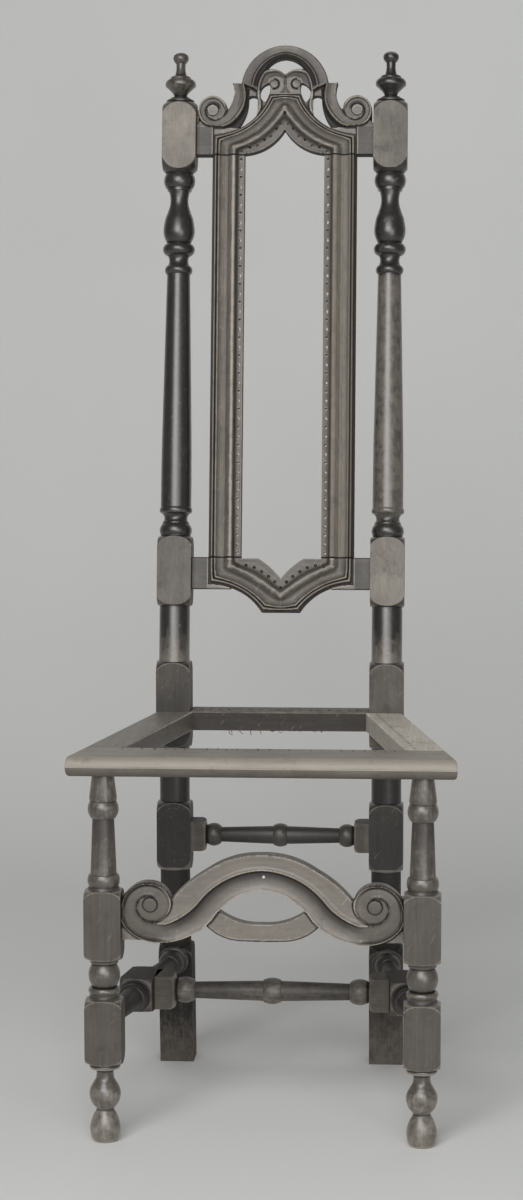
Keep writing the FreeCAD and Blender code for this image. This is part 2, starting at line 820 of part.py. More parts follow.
# Outlines of the crest's pierced work, as shares
arch_crown_share = (0.0, 1.0)
ear_via_share = (0.715, 0.54)
ear_tip_share = (0.735, 0.66)
ear_step_share = (0.602, 0.652)
arch_via_share = (0.421, 0.886)
arch_inner_share = (0.0, 0.891)
arch_inner_via_share = (0.304, 0.809)
arch_spring_share = (0.43, 0.61)
arch_foot_share = (0.43, 0.528)
ledge_share = (0.534, 0.528)
teardrop_via_share = (0.556, 0.384)
teardrop_tip_share = (0.665, 0.25)
scroll_cusp_share = (0.0, 0.734)
scroll_rise_via_share = (0.089, 0.775)
scroll_top_share = (0.188, 0.785)
scroll_side_via_share = (0.335, 0.74)
scroll_side_share = (0.43, 0.60)
stem_share = (0.39, 0.53)
stem_via_share = (0.401, 0.425)
stem_foot_share = (0.46, 0.32)
slot_top_share = (0.23, 0.66)
slot_outer_share = (0.352, 0.59)
slot_tip_share = (0.288, 0.485)
slot_inner_share = (0.215, 0.57)


def crest_arch():
    """The arch, the C-scrolls and the volutes, as far as the moulding that they stand on."""
    volute = crest_point(volute_share)
    outline = [
        crest_point(crest_middle_share),
        crest_point(crest_ridge_via_share),
        plane_point(ridge_x, mitre_rise / 2),
        plane_point(panel_half, mitre_rise / 2),
        plane_point(volute.x + volute_radius, mitre_rise),
        plane_point(volute.x + volute_radius, volute.z),
    ]
    edges = line_to(outline)
    notch = plane_point(volute.x - volute_radius, volute.z)
    edges.append(arc_through(outline[-1], plane_point(volute.x, volute.z + volute_radius), notch))
    edges.append(arc_through(notch, crest_point(ear_via_share), crest_point(ear_tip_share)))
    edges += crest_line(ear_tip_share, ear_step_share)
    edges.append(crest_arc(ear_step_share, arch_via_share, arch_crown_share))
    edges += crest_line(arch_crown_share, crest_middle_share)
    front = panel_front - crest_plate_recess
    arch = plate(edges, front, panel_thickness - crest_plate_recess)
    void = [crest_arc(arch_inner_share, arch_inner_via_share, arch_spring_share)]
    void += crest_line(arch_spring_share, arch_foot_share, ledge_share)
    void.append(crest_arc(ledge_share, teardrop_via_share, teardrop_tip_share))
    void += crest_line(teardrop_tip_share, crest_ridge_via_share, crest_middle_share, arch_inner_share)
    opening = plate(void, panel_front + overrun, panel_thickness + 2 * overrun)
    eye_front = vec(volute.x, -front - volute_eye_rise, volute.z)
    eye = rod(2 * volute_eye_radius, panel_thickness / 2, eye_front, backward)
    return arch.cut(opening).fuse(eye)


def crest_scrolls():
    """The pair of small scrolls under the arch, set back from its front, with their stems."""
    edges = [
        crest_arc(scroll_cusp_share, scroll_rise_via_share, scroll_top_share),
        crest_arc(scroll_top_share, scroll_side_via_share, scroll_side_share),
        crest_arc(stem_share, stem_via_share, stem_foot_share),
    ]
    edges += crest_line(scroll_side_share, stem_share)
    edges += crest_line(stem_foot_share, crest_ridge_via_share, crest_middle_share, scroll_cusp_share)
    slot = [
        crest_arc(slot_top_share, slot_outer_share, slot_tip_share),
        crest_arc(slot_tip_share, slot_inner_share, slot_top_share),
    ]
    front = panel_front - scroll_recess
    scrolls = plate(edges, front, panel_thickness - scroll_recess)
    return scrolls.cut(plate(slot, panel_front + overrun, panel_thickness + 2 * overrun))


crest_tenon = (
    vec(post_inner, stile_tenon_front, crest_tenon_margin),
    vec(post_inner + tenon_length, stile_tenon_front + tenon_thickness,
        crest_shoulder_height - crest_tenon_margin),
)


def shoulder(low, high):
    """The plain end of a rail of the back, between the moulding and the post."""
    front = panel_front - shoulder_recess
    return box(vec(ridge_x, -front, low), vec(post_inner, panel_thickness - panel_front, high))


def in_back(shape, height):
    """A piece of the back at its height on the posts, leant back."""
    return leant_back(shape.translated(vec(0, frame_depth, height)))


crest_peg = (vec(post_inner + peg_setback, half_stock, crest_shoulder_height / 2), -backward)


def crest_peg_hole():
    return rod_hole(peg_diameter, peg_depth, *crest_peg)


def crest_rail():
    guides = crest_guides()
    band = moulded_band(guides, panel_moulding_shares, panel_front, moulding_depth, panel_thickness)
    trim = box(vec(0, -panel_front, 0), vec(panel_half, panel_thickness - panel_front, mitre_rise / 2))
    ends = shoulder(0, crest_shoulder_height).cut(trim)
    half = joined([band, ends, crest_arch(), crest_scrolls(), box(*crest_tenon)])
    rail = both_sides(half)
    cuts = guide_holes(guides, crest_hole_spacing)
    cuts += [crest_peg_hole(), mortise(*stile_tenon(-stile_tenon_length, 2 * stile_tenon_length))]
    return rail.cut(cuts + [mirrored(cut) for cut in cuts])


# Lower rail of the back, drawn downwards from the middle of its upper edge, with shares of half
# the panel's width and of the rail's own height
lower_rail_height = 72.0
lower_shoulder_height = 41.3
lower_hole_spacing = 9.6

lower_mitre_share = 0.50
lower_corner_share = (0.262, 1.0)
lower_outer_via_share = (0.503, 0.675)
lower_ridge_corner_share = 0.15
lower_ridge_via_share = (0.358, 0.368)
lower_ridge_peak_share = 0.69
lower_inner_bend_share = (0.314, 0.021)
lower_inner_via_share = (0.155, 0.175)
lower_inner_peak_share = 0.389

lower_tenon_margin = 6.0
lower_tenon = (
    vec(post_inner, stile_tenon_front, lower_tenon_margin - lower_shoulder_height),
    vec(post_inner + tenon_length, stile_tenon_front + tenon_thickness, -lower_tenon_margin),
)
lower_peg = (vec(post_inner + peg_setback, half_stock, -lower_shoulder_height / 2), -backward)


def lower_point(share):
    return plane_point(panel_half * share[0], -lower_rail_height * share[1])


def lower_guides():
    mitre = plane_point(panel_half, -lower_rail_height * lower_mitre_share)
    corner = lower_point(lower_corner_share)
    outer = arc_through(mitre, lower_point(lower_outer_via_share), corner)
    ridge_foot = plane_point(ridge_x, -lower_rail_height * lower_ridge_corner_share)
    ridge = arc_through(ridge_foot, lower_point(lower_ridge_via_share),
                        plane_point(0, -lower_rail_height * lower_ridge_peak_share))
    bend = lower_point(lower_inner_bend_share)
    inner = [
        Part.makeLine(plane_point(inner_x, bend.z), bend),
        arc_through(bend, lower_point(lower_inner_via_share),
                    plane_point(0, -lower_rail_height * lower_inner_peak_share)),
    ]
    outer_edges = [outer, Part.makeLine(corner, plane_point(0, corner.z))]
    feet = [plane_point(x, 0) for x in (panel_half, ridge_x, inner_x)]
    return panel_guides(outer_edges, [ridge], inner, outer, feet)


def lower_peg_hole():
    return rod_hole(peg_diameter, peg_depth, *lower_peg)


def lower_back_rail():
    guides = lower_guides()
    band = moulded_band(guides, panel_moulding_shares, panel_front, moulding_depth, panel_thickness)
    trim = box(vec(0, -panel_front, -lower_shoulder_height),
               vec(panel_half, panel_thickness - panel_front, 0))
    ends = shoulder(-lower_shoulder_height, 0).cut(trim)
    half = joined([band, ends, box(*lower_tenon)])
    rail = both_sides(half)
    cuts = guide_holes(guides, lower_hole_spacing)
    cuts += [lower_peg_hole(), mortise(*stile_tenon(-stile_tenon_length, 2 * stile_tenon_length))]
    return rail.cut(cuts + [mirrored(cut) for cut in cuts])


def back_post():
    upper = leant_back(on_post(post_back()))
    lower = on_post(post_below_seat())
    foot = on_post(post_foot())
    crest_cuts = [mortise(*crest_tenon), crest_peg_hole()]
    lower_cuts = [mortise(*lower_tenon), lower_peg_hole()]
    cuts = [in_back(cut, crest_low) for cut in crest_cuts]
    cuts += [in_back(cut, panel_low) for cut in lower_cuts]
    cuts += [
        mortise(*side_tenon_rear),
        side_rail_peg_hole(),
        mortise(*rear_rail_tenon),
        rear_rail_peg_hole(),
        rod_hole(round_tenon_diameter, round_tenon_length,
                 vec(post_inner, frame_depth, rear_stretcher_height), right),
        rear_stretcher_peg_hole(),
        side_tenon_hole_rear(),
        side_stretcher_peg_hole_rear(),
    ]
    return joined([lower, upper, foot]).cut(cuts)


# Front stretcher, drawn from the middle of its lower edge. Shares are of half the width between
# the legs and of its own height.
stretcher_front = 15.0
stretcher_thickness = 25.0
stretcher_relief = 7.0
stretcher_plate_recess = 3.0
crescent_recess = 7.0
tab_recess = 9.0
front_volute_radius = 29.5
front_eye_radius = 8.5
front_tenon_low = 12.0
front_tenon_high = 58.0
nail_diameter = 1.8
nail_length = 12.0
nail_head_diameter = 3.5
nail_head_height = 1.0
nail_x = 2.0

leg_inner = leg_x - half_stock
front_volute_share = (0.799, 0.406)
front_outer_start_share = (0.635, 0.496)
front_outer_via_share = (0.365, 0.860)
front_crown_share = (0.0, 1.0)
front_ridge_start_share = 0.62
front_ridge_via_share = (0.577, 0.255)
front_ridge_bend_share = (0.448, 0.437)
front_ridge_crown_via_share = (0.236, 0.701)
front_ridge_crown_share = (0.0, 0.791)
front_lower_start_share = (0.704, 0.0)
front_lower_via_share = (0.501, 0.085)
front_lower_bend_share = (0.353, 0.255)
front_lower_crown_via_share = (0.194, 0.495)
front_lower_crown_share = (0.0, 0.584)
front_sweep_via_share = (0.858, 0.032)
front_sweep_end_share = (0.975, 0.165)
crescent_flat_share = (0.15, 0.0)
crescent_low_via_share = (0.275, 0.045)
crescent_low_tip_share = (0.405, 0.18)
crescent_high_tip_share = (0.315, 0.35)
crescent_high_via_share = (0.181, 0.238)
crescent_middle_share = (0.0, 0.195)
tab_start_share = 0.82
tab_low_share = 0.013
tab_high_share = 0.60

front_moulding_shares = (
    (0.0, 0.20), (0.35, 0.42), (0.7, 0.40), (0.92, 0.15), (1.0, 0.0), (1.1, 0.45), (1.4, 0.80),
    (1.75, 0.55), (1.93, 0.25), (2.0, 0.32),
)
front_stretcher_tenon = (
    vec(leg_inner, -tenon_thickness / 2, front_stretcher_low + front_tenon_low),
    vec(leg_inner + tenon_length, tenon_thickness / 2, front_stretcher_low + front_tenon_high),
)
front_peg_height = front_stretcher_low + (front_tenon_low + front_tenon_high) / 2
front_peg = (vec(leg_inner + peg_setback, half_stock, front_peg_height), -backward)
nail_height = front_stretcher_low + front_stretcher_tall * 0.73
nail_seat = stretcher_relief * front_moulding_shares[5][1] - stretcher_front


def front_stretcher_peg_hole():
    return rod_hole(peg_diameter, peg_depth, *front_peg)


def front_point(share):
    return plane_point(leg_inner * share[0], front_stretcher_low + front_stretcher_tall * share[1])


def front_arc(start, via, end):
    return arc_through(front_point(start), front_point(via), front_point(end))


def front_guides():
    """The arch's outer edge, its ridge and its lower edge, from the volute to the crown."""
    outer_start = front_point(front_outer_start_share)
    lower_start = front_point(front_lower_start_share)
    ridge_start = outer_start + (lower_start - outer_start) * front_ridge_start_share
    bend = front_point(front_ridge_bend_share)
    outer = [front_arc(front_outer_start_share, front_outer_via_share, front_crown_share)]
    ridge = [
        arc_through(ridge_start, front_point(front_ridge_via_share), bend),
        front_arc(front_ridge_bend_share, front_ridge_crown_via_share, front_ridge_crown_share),
    ]
    lower = [
        front_arc(front_lower_start_share, front_lower_via_share, front_lower_bend_share),
        front_arc(front_lower_bend_share, front_lower_crown_via_share, front_lower_crown_share),
    ]
    steps = 2 * guide_steps
    shares = [step / steps for step in range(steps + 1)]
    return [sampled(chain, shares) for chain in (outer, ridge, lower)]


def front_volute():
    """The volute beside the leg and the foot of the arch that curls into it."""
    volute = front_point(front_volute_share)
    start = front_point(front_outer_start_share)
    outer_side = plane_point(volute.x + front_volute_radius, volute.z)
    sweep_end = front_point(front_sweep_end_share)
    edges = [arc_through(outer_side, plane_point(volute.x, volute.z + front_volute_radius), start)]
    edges += line_to([start, front_point(front_lower_start_share)])
    edges.append(front_arc(front_lower_start_share, front_sweep_via_share, front_sweep_end_share))
    edges += line_to([sweep_end, outer_side])
    front = stretcher_front - stretcher_plate_recess
    body = plate(edges, front, stretcher_thickness - stretcher_plate_recess)
    eye_front = vec(volute.x, -stretcher_front, volute.z)
    eye = rod(2 * front_eye_radius, stretcher_thickness, eye_front, backward)
    return body.fuse(eye)


def crescent():
    """The recessed crescent that closes the arch from below."""
    flat_end = front_point(crescent_flat_share)
    low_tip = front_point(crescent_low_tip_share)
    high_tip = front_point(crescent_high_tip_share)
    middle = front_point(crescent_middle_share)
    edges = line_to([plane_point(0, front_stretcher_low), flat_end])
    edges.append(arc_through(flat_end, front_point(crescent_low_via_share), low_tip))
    edges += line_to([low_tip, high_tip])
    edges.append(arc_through(high_tip, front_point(crescent_high_via_share), middle))
    edges += line_to([middle, plane_point(0, front_stretcher_low)])
    return plate(edges, stretcher_front - crescent_recess, stretcher_thickness - crescent_recess)


def front_stretcher():
    band = moulded_band(front_guides(), front_moulding_shares, stretcher_front, stretcher_relief,
                        stretcher_thickness)
    tab_low = front_stretcher_low + front_stretcher_tall * tab_low_share
    tab_high = front_stretcher_low + front_stretcher_tall * tab_high_share
    tab = box(vec(leg_inner * tab_start_share, tab_recess - stretcher_front, tab_low),
              vec(leg_inner, stretcher_thickness - stretcher_front, tab_high))
    half = joined([band, front_volute(), crescent(), tab, box(*front_stretcher_tenon)])
    nail_room = rod_hole(nail_diameter, nail_length, vec(nail_x, nail_seat, nail_height), backward)
    cuts = [front_stretcher_peg_hole(), mirrored(front_stretcher_peg_hole()), nail_room]
    return both_sides(half).cut(cuts)


def stretcher_nail():
    shank = rod(nail_diameter, nail_length, vec(nail_x, nail_seat, nail_height), backward)
    head = rod(nail_head_diameter, nail_head_height, vec(nail_x, nail_seat, nail_height), -backward)
    return joined([shank, head])


def pegs(*rods):
    """The pegs of one kind of joint on both sides of the chair, as separate solids."""
    return Part.makeCompound(list(rods) + [mirrored(peg) for peg in rods])


right_hand = {
    "back_post": back_post(),
    "front_leg": front_leg(),
    "back_stile": in_back(back_stile(), panel_low),
    "side_seat_rail": side_seat_rail(),
    "side_stretcher": side_stretcher(),
}
middle = {
    "crest_rail": in_back(crest_rail(), crest_low),
    "lower_back_rail": in_back(lower_back_rail(), panel_low),
    "front_seat_rail": front_seat_rail(),
    "rear_seat_rail": rear_seat_rail(),
    "front_stretcher": front_stretcher(),
    "medial_stretcher": medial_stretcher(),
    "rear_stretcher": rear_stretcher(),
    "stretcher_nail": stretcher_nail(),
    "crest_pegs": in_back(pegs(rod(peg_diameter, peg_depth, *crest_peg)), crest_low),
    "lower_back_rail_pegs": in_back(pegs(rod(peg_diameter, peg_depth, *lower_peg)), panel_low),
    "rear_seat_rail_pegs": pegs(rod(peg_diameter, rear_rail_peg_length, *rear_rail_peg)),
    "side_seat_rail_pegs": pegs(rod(peg_diameter, peg_depth, *side_rail_peg)),
    "front_seat_rail_pegs": pegs(rod(peg_diameter, front_rail_peg_length, *front_rail_peg)),
    "front_stretcher_pegs": pegs(rod(peg_diameter, peg_depth, *front_peg)),
    "side_stretcher_pegs": pegs(rod(peg_diameter, peg_depth, *side_peg_front),
                                rod(peg_diameter, peg_depth, *side_peg_rear)),
    "rear_stretcher_pegs": pegs(rod(peg_diameter, peg_depth, *rear_peg)),
}
nodes = dict(middle)
for name, shape in right_hand.items():
    nodes[name + "_right"] = shape
    nodes[name + "_left"] = mirrored(shape)

# The origin is on the floor, under the middle of the whole chair's box
whole_box = Part.makeCompound(list(nodes.values())).optimalBoundingBox()
to_origin = vec(0, -(whole_box.YMin + whole_box.YMax) / 2, 0)
os.makedirs("parts", exist_ok=True)
for name, shape in nodes.items():
    shape.translated(to_origin).exportStep("parts/" + name + ".step")
    print(name, len(shape.Solids), shape.isValid(), round(shape.Volume))
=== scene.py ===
import math

import bmesh
import bpy
import numpy as np
from mathutils import Matrix, Vector


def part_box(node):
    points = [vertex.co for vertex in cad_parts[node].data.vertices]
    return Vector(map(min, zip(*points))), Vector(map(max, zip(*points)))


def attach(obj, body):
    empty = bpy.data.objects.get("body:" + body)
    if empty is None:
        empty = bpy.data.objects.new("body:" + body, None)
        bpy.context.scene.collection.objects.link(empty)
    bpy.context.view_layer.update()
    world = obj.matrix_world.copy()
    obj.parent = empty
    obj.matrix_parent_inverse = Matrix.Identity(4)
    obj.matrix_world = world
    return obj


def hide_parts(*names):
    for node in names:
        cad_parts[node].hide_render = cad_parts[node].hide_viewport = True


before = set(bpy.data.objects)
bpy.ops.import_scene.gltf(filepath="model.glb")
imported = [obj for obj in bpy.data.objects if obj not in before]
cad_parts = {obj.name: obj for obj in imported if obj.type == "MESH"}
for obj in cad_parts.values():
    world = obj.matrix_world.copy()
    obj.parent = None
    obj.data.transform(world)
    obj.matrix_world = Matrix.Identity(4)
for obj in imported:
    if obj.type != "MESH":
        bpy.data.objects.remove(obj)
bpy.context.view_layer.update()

# Back posts. Each is turned from one square timber, with square blocks left for the joints, and
# leans back above the seat block and below the stretcher block. The wood is nearly black with old
# polish on the turned work, and dry and grey on the worn faces and arrises of the blocks.
mm = 0.001
post_low, post_high = [Vector(corner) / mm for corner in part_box("back_post_right")]
rear_low, rear_high = [Vector(corner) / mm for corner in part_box("rear_stretcher")]
seat_low, seat_high = [Vector(corner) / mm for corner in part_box("front_seat_rail")]
half_stock = (post_high.x - post_low.x) / 2
post_x = (post_low.x + post_high.x) / 2
post_y = (rear_low.y + rear_high.y) / 2
seat_height = seat_high.z
rear_stretcher_height = (rear_low.z + rear_high.z) / 2
back_bend = seat_height + 63.5
back_rake = math.radians(9.54)
foot_rake = math.radians(7.25)
foot_bend = rear_stretcher_height - 36.5
stretcher_height = 143.0
foot_block_high = 160.0
stile_length = 533.0
panel_low = back_bend + 136.4
crest_low = panel_low + stile_length
panel_block_low, panel_block_high = panel_low - 63, panel_low + 26.6
crest_block_low, crest_block_high = crest_low - 19.4, crest_low + 69
finial_top = crest_low + 139
rear_block_low, rear_block_high = rear_stretcher_height - 44.5, rear_stretcher_height + 44.5
seat_block_low = seat_height - 48.5
hidden_length, under_floor, shoulder_gap, block_gap = 8, 20, 7, 1.5
neck_share, shoulder_share, corner_share = 0.88, 0.9, 1.46
block_end_shares = ((neck_share, -0.107), (1.25, 0.339), (corner_share, 1.1))
column_shares = (
    (0.006, 0.88), (0.035, 0.8, 0.95), (0.04, 0.79), (0.041, 0.76), (0.065, 0.86, 0.685), (0.066, 0.93),
    (0.079, 0.93, 0.965), (0.081, 0.905), [(0.22, 0.892), (0.384, 0.828), (0.548, 0.757), (0.7156, 0.682)],
    (0.716, 0.72), (0.738, 0.7, 0.82), (0.7385, 0.66), (0.767, 0.66, 0.571), (0.768, 0.75),
    (0.7988, 0.75, 0.948), (0.7995, 0.675), [(0.8162, 0.863), (0.836, 0.931), (0.8655, 0.84),
    (0.884, 0.697), (0.905, 0.56), (0.924, 0.538), (0.943, 0.62)], (0.9435, 0.72), (0.9517, 0.72),
    (0.952, 0.8), (0.9908, 0.8, 0.93),
)
finial_shares = (
    (0.03, 0.8), (0.085, 0.74, 0.84), (0.088, 0.66), (0.125, 0.58), [(0.15, 0.4), (0.175, 0.385),
    (0.225, 0.48), (0.29, 0.68), (0.335, 0.83)], (0.345, 0.88), (0.47, 0.76, 0.9), (0.478, 0.62),
    (0.535, 0.52, 0.62), (0.545, 0.37), [(0.58, 0.325), (0.68, 0.275), (0.79, 0.28)], (0.8, 0.33),
    [(0.845, 0.43), (0.89, 0.465), (0.945, 0.42), (0.985, 0.24), (1.0, 0.0)],
)


def arc_points(start, via, end, step):
    """Points along the arc through three points, without its start."""
    (ax, ay), (bx, by), (cx, cy) = start, via, end
    area = 2 * (ax * (by - cy) + bx * (cy - ay) + cx * (ay - by))
    if abs(area) < 1e-6:
        return [via, end]
    a2, b2, c2 = ax * ax + ay * ay, bx * bx + by * by, cx * cx + cy * cy
    ox = (a2 * (by - cy) + b2 * (cy - ay) + c2 * (ay - by)) / area
    oy = (a2 * (cx - bx) + b2 * (ax - cx) + c2 * (bx - ax)) / area
    radius = math.hypot(ax - ox, ay - oy)
    first = math.atan2(ay - oy, ax - ox)
    turn = (math.atan2(cy - oy, cx - ox) - first) % math.tau
    if (math.atan2(by - oy, bx - ox) - first) % math.tau > turn:
        turn -= math.tau
    count = max(2, math.ceil(abs(turn) * radius / step))
    angles = [first + turn * (number + 1) / count for number in range(count)]
    return [(ox + radius * math.cos(angle), oy + radius * math.sin(angle)) for angle in angles]


def curve_points(points, step):
    """Points along a smooth curve through all the points, without its start."""
    ends = [points[0]] + list(points) + [points[-1]]
    curve = []
    for p0, p1, p2, p3 in zip(ends, ends[1:], ends[2:], ends[3:]):
        count = max(2, math.ceil(math.dist(p1, p2) / step))
        for number in range(count):
            t = (number + 1) / count
            curve.append(tuple(
                0.5 * (2 * b + (c - a) * t + (2 * a - 5 * b + 4 * c - d) * t * t
                       + (3 * b - a - 3 * c + d) * t ** 3)
                for a, b, c, d in zip(p0, p1, p2, p3)
            ))
    return curve


class Outline:
    """Half the outline of a turned piece: heights along its axis and radii, in mm."""

    step = 0.9

    def __init__(self, bottom, half_width):
        self.unit = half_width
        self.points = [(bottom, 0.0)]

    def line(self, radius, height):
        self.points.append((height, radius))

    def bead(self, radius, height, middle_radius):
        start = self.points[-1]
        middle = ((start[0] + height) / 2, middle_radius)
        self.points += arc_points(start, middle, (height, radius), self.step)

    def stretch(self, low, high, shares):
        """Turned work from low to high. Heights are shares of that, and radii of the stock's half
        width: a pair is a straight line to its place, three numbers are a bead with the radius of
        its middle at the end, and a list is a smooth curve through its places."""
        for share in shares:
            if isinstance(share, list):
                places = [(low + (high - low) * h, r * self.unit) for h, r in share]
                self.points += curve_points([self.points[-1]] + places, self.step)
                continue
            height, radius = low + (high - low) * share[0], share[1] * self.unit
            if len(share) == 2:
                self.line(radius, height)
            else:
                self.bead(radius, height, share[2] * self.unit)

    def block_end(self, face_end, rounding):
        """The round end of a square block. Above a block, the rounding is below zero."""
        places = [(face_end + rounding * h, r * self.unit) for r, h in block_end_shares]
        if rounding < 0:
            places.reverse()
        self.points.append(places[0])
        self.points += arc_points(*places, self.step)

    def block(self, low, high, rounding_low, rounding_high):
        self.block_end(low, rounding_low)
        self.block_end(high, -rounding_high)

    def mirror_at(self, height):
        """Repeats the outline so far, mirrored, above the height."""
        self.points += [(2 * height - h, r) for h, r in reversed(self.points)]


class Nodes:
    """The nodes of one material or one Geometry Nodes tree."""

    def __init__(self, tree):
        self.tree = tree

    def set(self, node, inputs):
        """Gives inputs of a node their values or links, by place, name or identifier."""
        for name, value in dict(inputs).items():
            matching = [s for s in node.inputs if s.identifier == name or s.name == name]
            socket = node.inputs[name] if isinstance(name, int) else matching[0]
            if isinstance(value, Socket):
                self.tree.links.new(value.socket, socket)
            else:
                socket.default_value = value

    def add(self, kind, settings=(), inputs=(), output=0):
        node = self.tree.nodes.new(kind)
        for name, value in dict(settings).items():
            setattr(node, name, value)
        self.set(node, inputs)
        return Socket(self, node.outputs[output])

    def noise(self, vector, scale, detail, roughness=0.55, distortion=0.0):
        return self.add("ShaderNodeTexNoise", {}, {
            "Vector": vector, "Scale": scale, "Detail": detail, "Roughness": roughness,
            "Distortion": distortion})

    def store(self, geometry, name, value):
        """The geometry with a number stored at its points."""
        return self.add("GeometryNodeStoreNamedAttribute", {"data_type": "FLOAT", "domain": "POINT"}, {
            "Geometry": geometry, "Name": name, "Value": value})


class Socket:
    """A socket of a tree. Sums with it add Math nodes."""

    def __init__(self, nodes, socket):
        self.nodes = nodes
        self.socket = socket

    def sum(self, operation, *values):
        return self.nodes.add("ShaderNodeMath", {"operation": operation}, dict(enumerate(values)))

    def __add__(self, other):
        return self.sum("ADD", self, other)

    def __radd__(self, other):
        return self.sum("ADD", other, self)

    def __sub__(self, other):
        return self.sum("SUBTRACT", self, other)

    def __rsub__(self, other):
        return self.sum("SUBTRACT", other, self)

    def __mul__(self, other):
        return self.sum("MULTIPLY", self, other)

    def __rmul__(self, other):
        return self.sum("MULTIPLY", other, self)

    def __truediv__(self, other):
        return self.sum("DIVIDE", self, other)

    def __abs__(self):
        return self.sum("ABSOLUTE", self)

    def at_least(self, other):
        return self.sum("MAXIMUM", self, other)

    def at_most(self, other):
        return self.sum("MINIMUM", self, other)

    def over(self, limit):
        """1 above the limit, and 0 below it."""
        return self.sum("GREATER_THAN", self, limit)

    def between(self, low, high):
        """0 below low, 1 above high, and smooth between them."""
        ends = {"Value": self, "From Min": low, "From Max": high}
        return self.nodes.add("ShaderNodeMapRange", {"interpolation_type": "SMOOTHSTEP"}, ends)

    def mix(self, first, second):
        """The first colour where this is 0, and the second where it is 1."""
        colours = {0: self, 6: first, 7: second}
        return self.nodes.add("ShaderNodeMix", {"data_type": "RGBA"}, colours, output=2)


def new_material(name):
    """A material, its nodes and its shader."""
    material = bpy.data.materials.new(name)
    material.use_nodes = True
    return material, Nodes(material.node_tree), material.node_tree.nodes["Principled BSDF"]


# Near black, for dirt and for painted shade in hollows, on sawn sides and on backs.
grime_and_shade_colour = (0.01, 0.008, 0.007, 1)
dry_grey = (0.33, 0.295, 0.25)
warm_brown = (0.2, 0.178, 0.15)


def old_wood(name, grain, whole, worn, polish, dry=dry_grey, figure=1.0, coat=0.3):
    """Old polished wood: whole where nothing touched it, worn on its edges and ridges and where it
    was scuffed or scratched, dry on the faces marked so, and black in its hollows, with dirt and
    painted shade."""
    material, nodes, shader = new_material(name)
    place = nodes.add("ShaderNodeTexCoord", output=3)
    along = {"x": (0.05, 1, 1), "y": (1, 0.05, 1), "z": (1, 1, 0.05)}

    def shade(colour, share):
        return [share * part for part in colour] + [1]

    def drawn_out(vector, direction):
        """The vector squeezed along the grain, which draws a noise out along it."""
        inputs = {0: vector, 1: along[direction]}
        return nodes.add("ShaderNodeVectorMath", {"operation": "MULTIPLY"}, inputs)

    grained = drawn_out(place, grain)
    streaks = nodes.noise(grained, 330.0, 4.0, 0.6, 0.4)
    bands = nodes.noise(grained, 85.0, 3.0, 0.5, 0.8)
    pores = nodes.noise(grained, 900.0, 2.0, 0.6)
    blotches = nodes.noise(place, 22.0, 4.0)
    rubs = nodes.noise(place, 95.0, 5.0, 0.7)
    stains = nodes.noise(place, 46.0, 5.0, 0.7).between(0.52, 0.68)
    wear, face, bare, hollow = [
        nodes.add("ShaderNodeAttribute", {"attribute_name": mark}, output=2)
        for mark in ("wear", "face", "bare", "hollow")]
    tone = (streaks * 0.5 + bands * 0.3 + blotches * 0.3).between(0.35, 0.78)
    body = tone.mix(shade(whole, 1 - 0.32 * figure), shade(whole, 1 + 0.3 * figure))
    slanted = nodes.add("ShaderNodeVectorRotate", {"rotation_type": "EULER_XYZ"}, {
        "Vector": place, "Rotation": (0.5, 0.9, 0.55)})
    scratches = nodes.noise(drawn_out(slanted, "x"), 300.0, 1.0).between(0.7, 0.73) * 0.5
    scuffs = nodes.noise(place, 260.0, 3.0, 0.6).between(0.6, 0.7) * blotches.between(0.42, 0.62) * 0.4
    rubbed = (wear * 0.9 + (rubs - 0.5) + (streaks - 0.5) * 0.5).between(0.28, 0.85)
    rubbed = rubbed.at_least(scuffs + scratches)
    colour = (rubbed * 0.9).mix(body, shade(worn, 1.0))
    dried = (face * bare * (blotches * 0.7 + 0.65)).between(0.0, 1.0)
    colour = dried.mix(colour, tone.mix(shade(dry, 0.74), shade(dry, 1.14)))
    colour = (stains * 0.34).mix(colour, shade(whole, 0.4))
    # Darkened towards near black where the marks say: dirt, and painted shade in hollows, on sawn sides and
    # on backs.
    dirt_and_shade = (hollow + (blotches - 0.5) * 0.3).between(0.12, 0.9)
    colour = (dirt_and_shade * 0.9).mix(colour, grime_and_shade_colour)
    colour = (pores.between(0.62, 0.72) * 0.4).mix(colour, shade(whole, 0.35))
    height = streaks * 0.35 + pores * 0.25 + rubs * 0.5 + blotches * 0.8
    nodes.set(shader, {
        "Base Color": colour,
        "Roughness": polish + rubbed * 0.12 + face * 0.2 + dirt_and_shade * 0.25 + (rubs - 0.5) * 0.14,
        "Coat Weight": coat * (1 - face) * (1 - dirt_and_shade),
        "Coat Roughness": polish,
        "Normal": nodes.add("ShaderNodeBump", {}, {"Strength": 0.4, "Distance": 0.0008, "Height": height}),
    })
    return material


def hollow_and_ridge(points, unit):
    """How far each place of a turned outline lies below and above the work beside it, as shares."""
    margin, spacing, places_round = 12, 0.5, 21
    full_hollow, low_ridge, full_ridge = 2.6, 0.3, 2.2
    heights = np.array([point[0] for point in points])
    radii = np.minimum(np.array([point[1] for point in points]), unit * 1.02)
    evenly = np.arange(heights.min() - margin, heights.max() + margin, spacing)
    order = np.argsort(heights, kind="stable")
    level = np.interp(evenly, heights[order], radii[order])
    around = np.convolve(level, np.ones(places_round) / places_round, mode="same")
    around = np.interp(heights, evenly, around)
    ridge = np.clip((radii - around - low_ridge) / full_ridge, 0, 1)
    return np.clip((around - radii) / full_hollow, 0, 1), ridge


def new_tree(name, inputs):
    """The nodes of a new Geometry Nodes tree, and the sockets of its named inputs."""
    tree = bpy.data.node_groups.new(name, "GeometryNodeTree")
    for label, kind in inputs.items():
        tree.interface.new_socket(label, in_out="INPUT", socket_type="NodeSocket" + kind)
    tree.interface.new_socket("Piece", in_out="OUTPUT", socket_type="NodeSocketGeometry")
    nodes = Nodes(tree)
    start = tree.nodes.new("NodeGroupInput")
    return [nodes] + [Socket(nodes, socket) for socket in list(start.outputs)[:len(inputs)]]


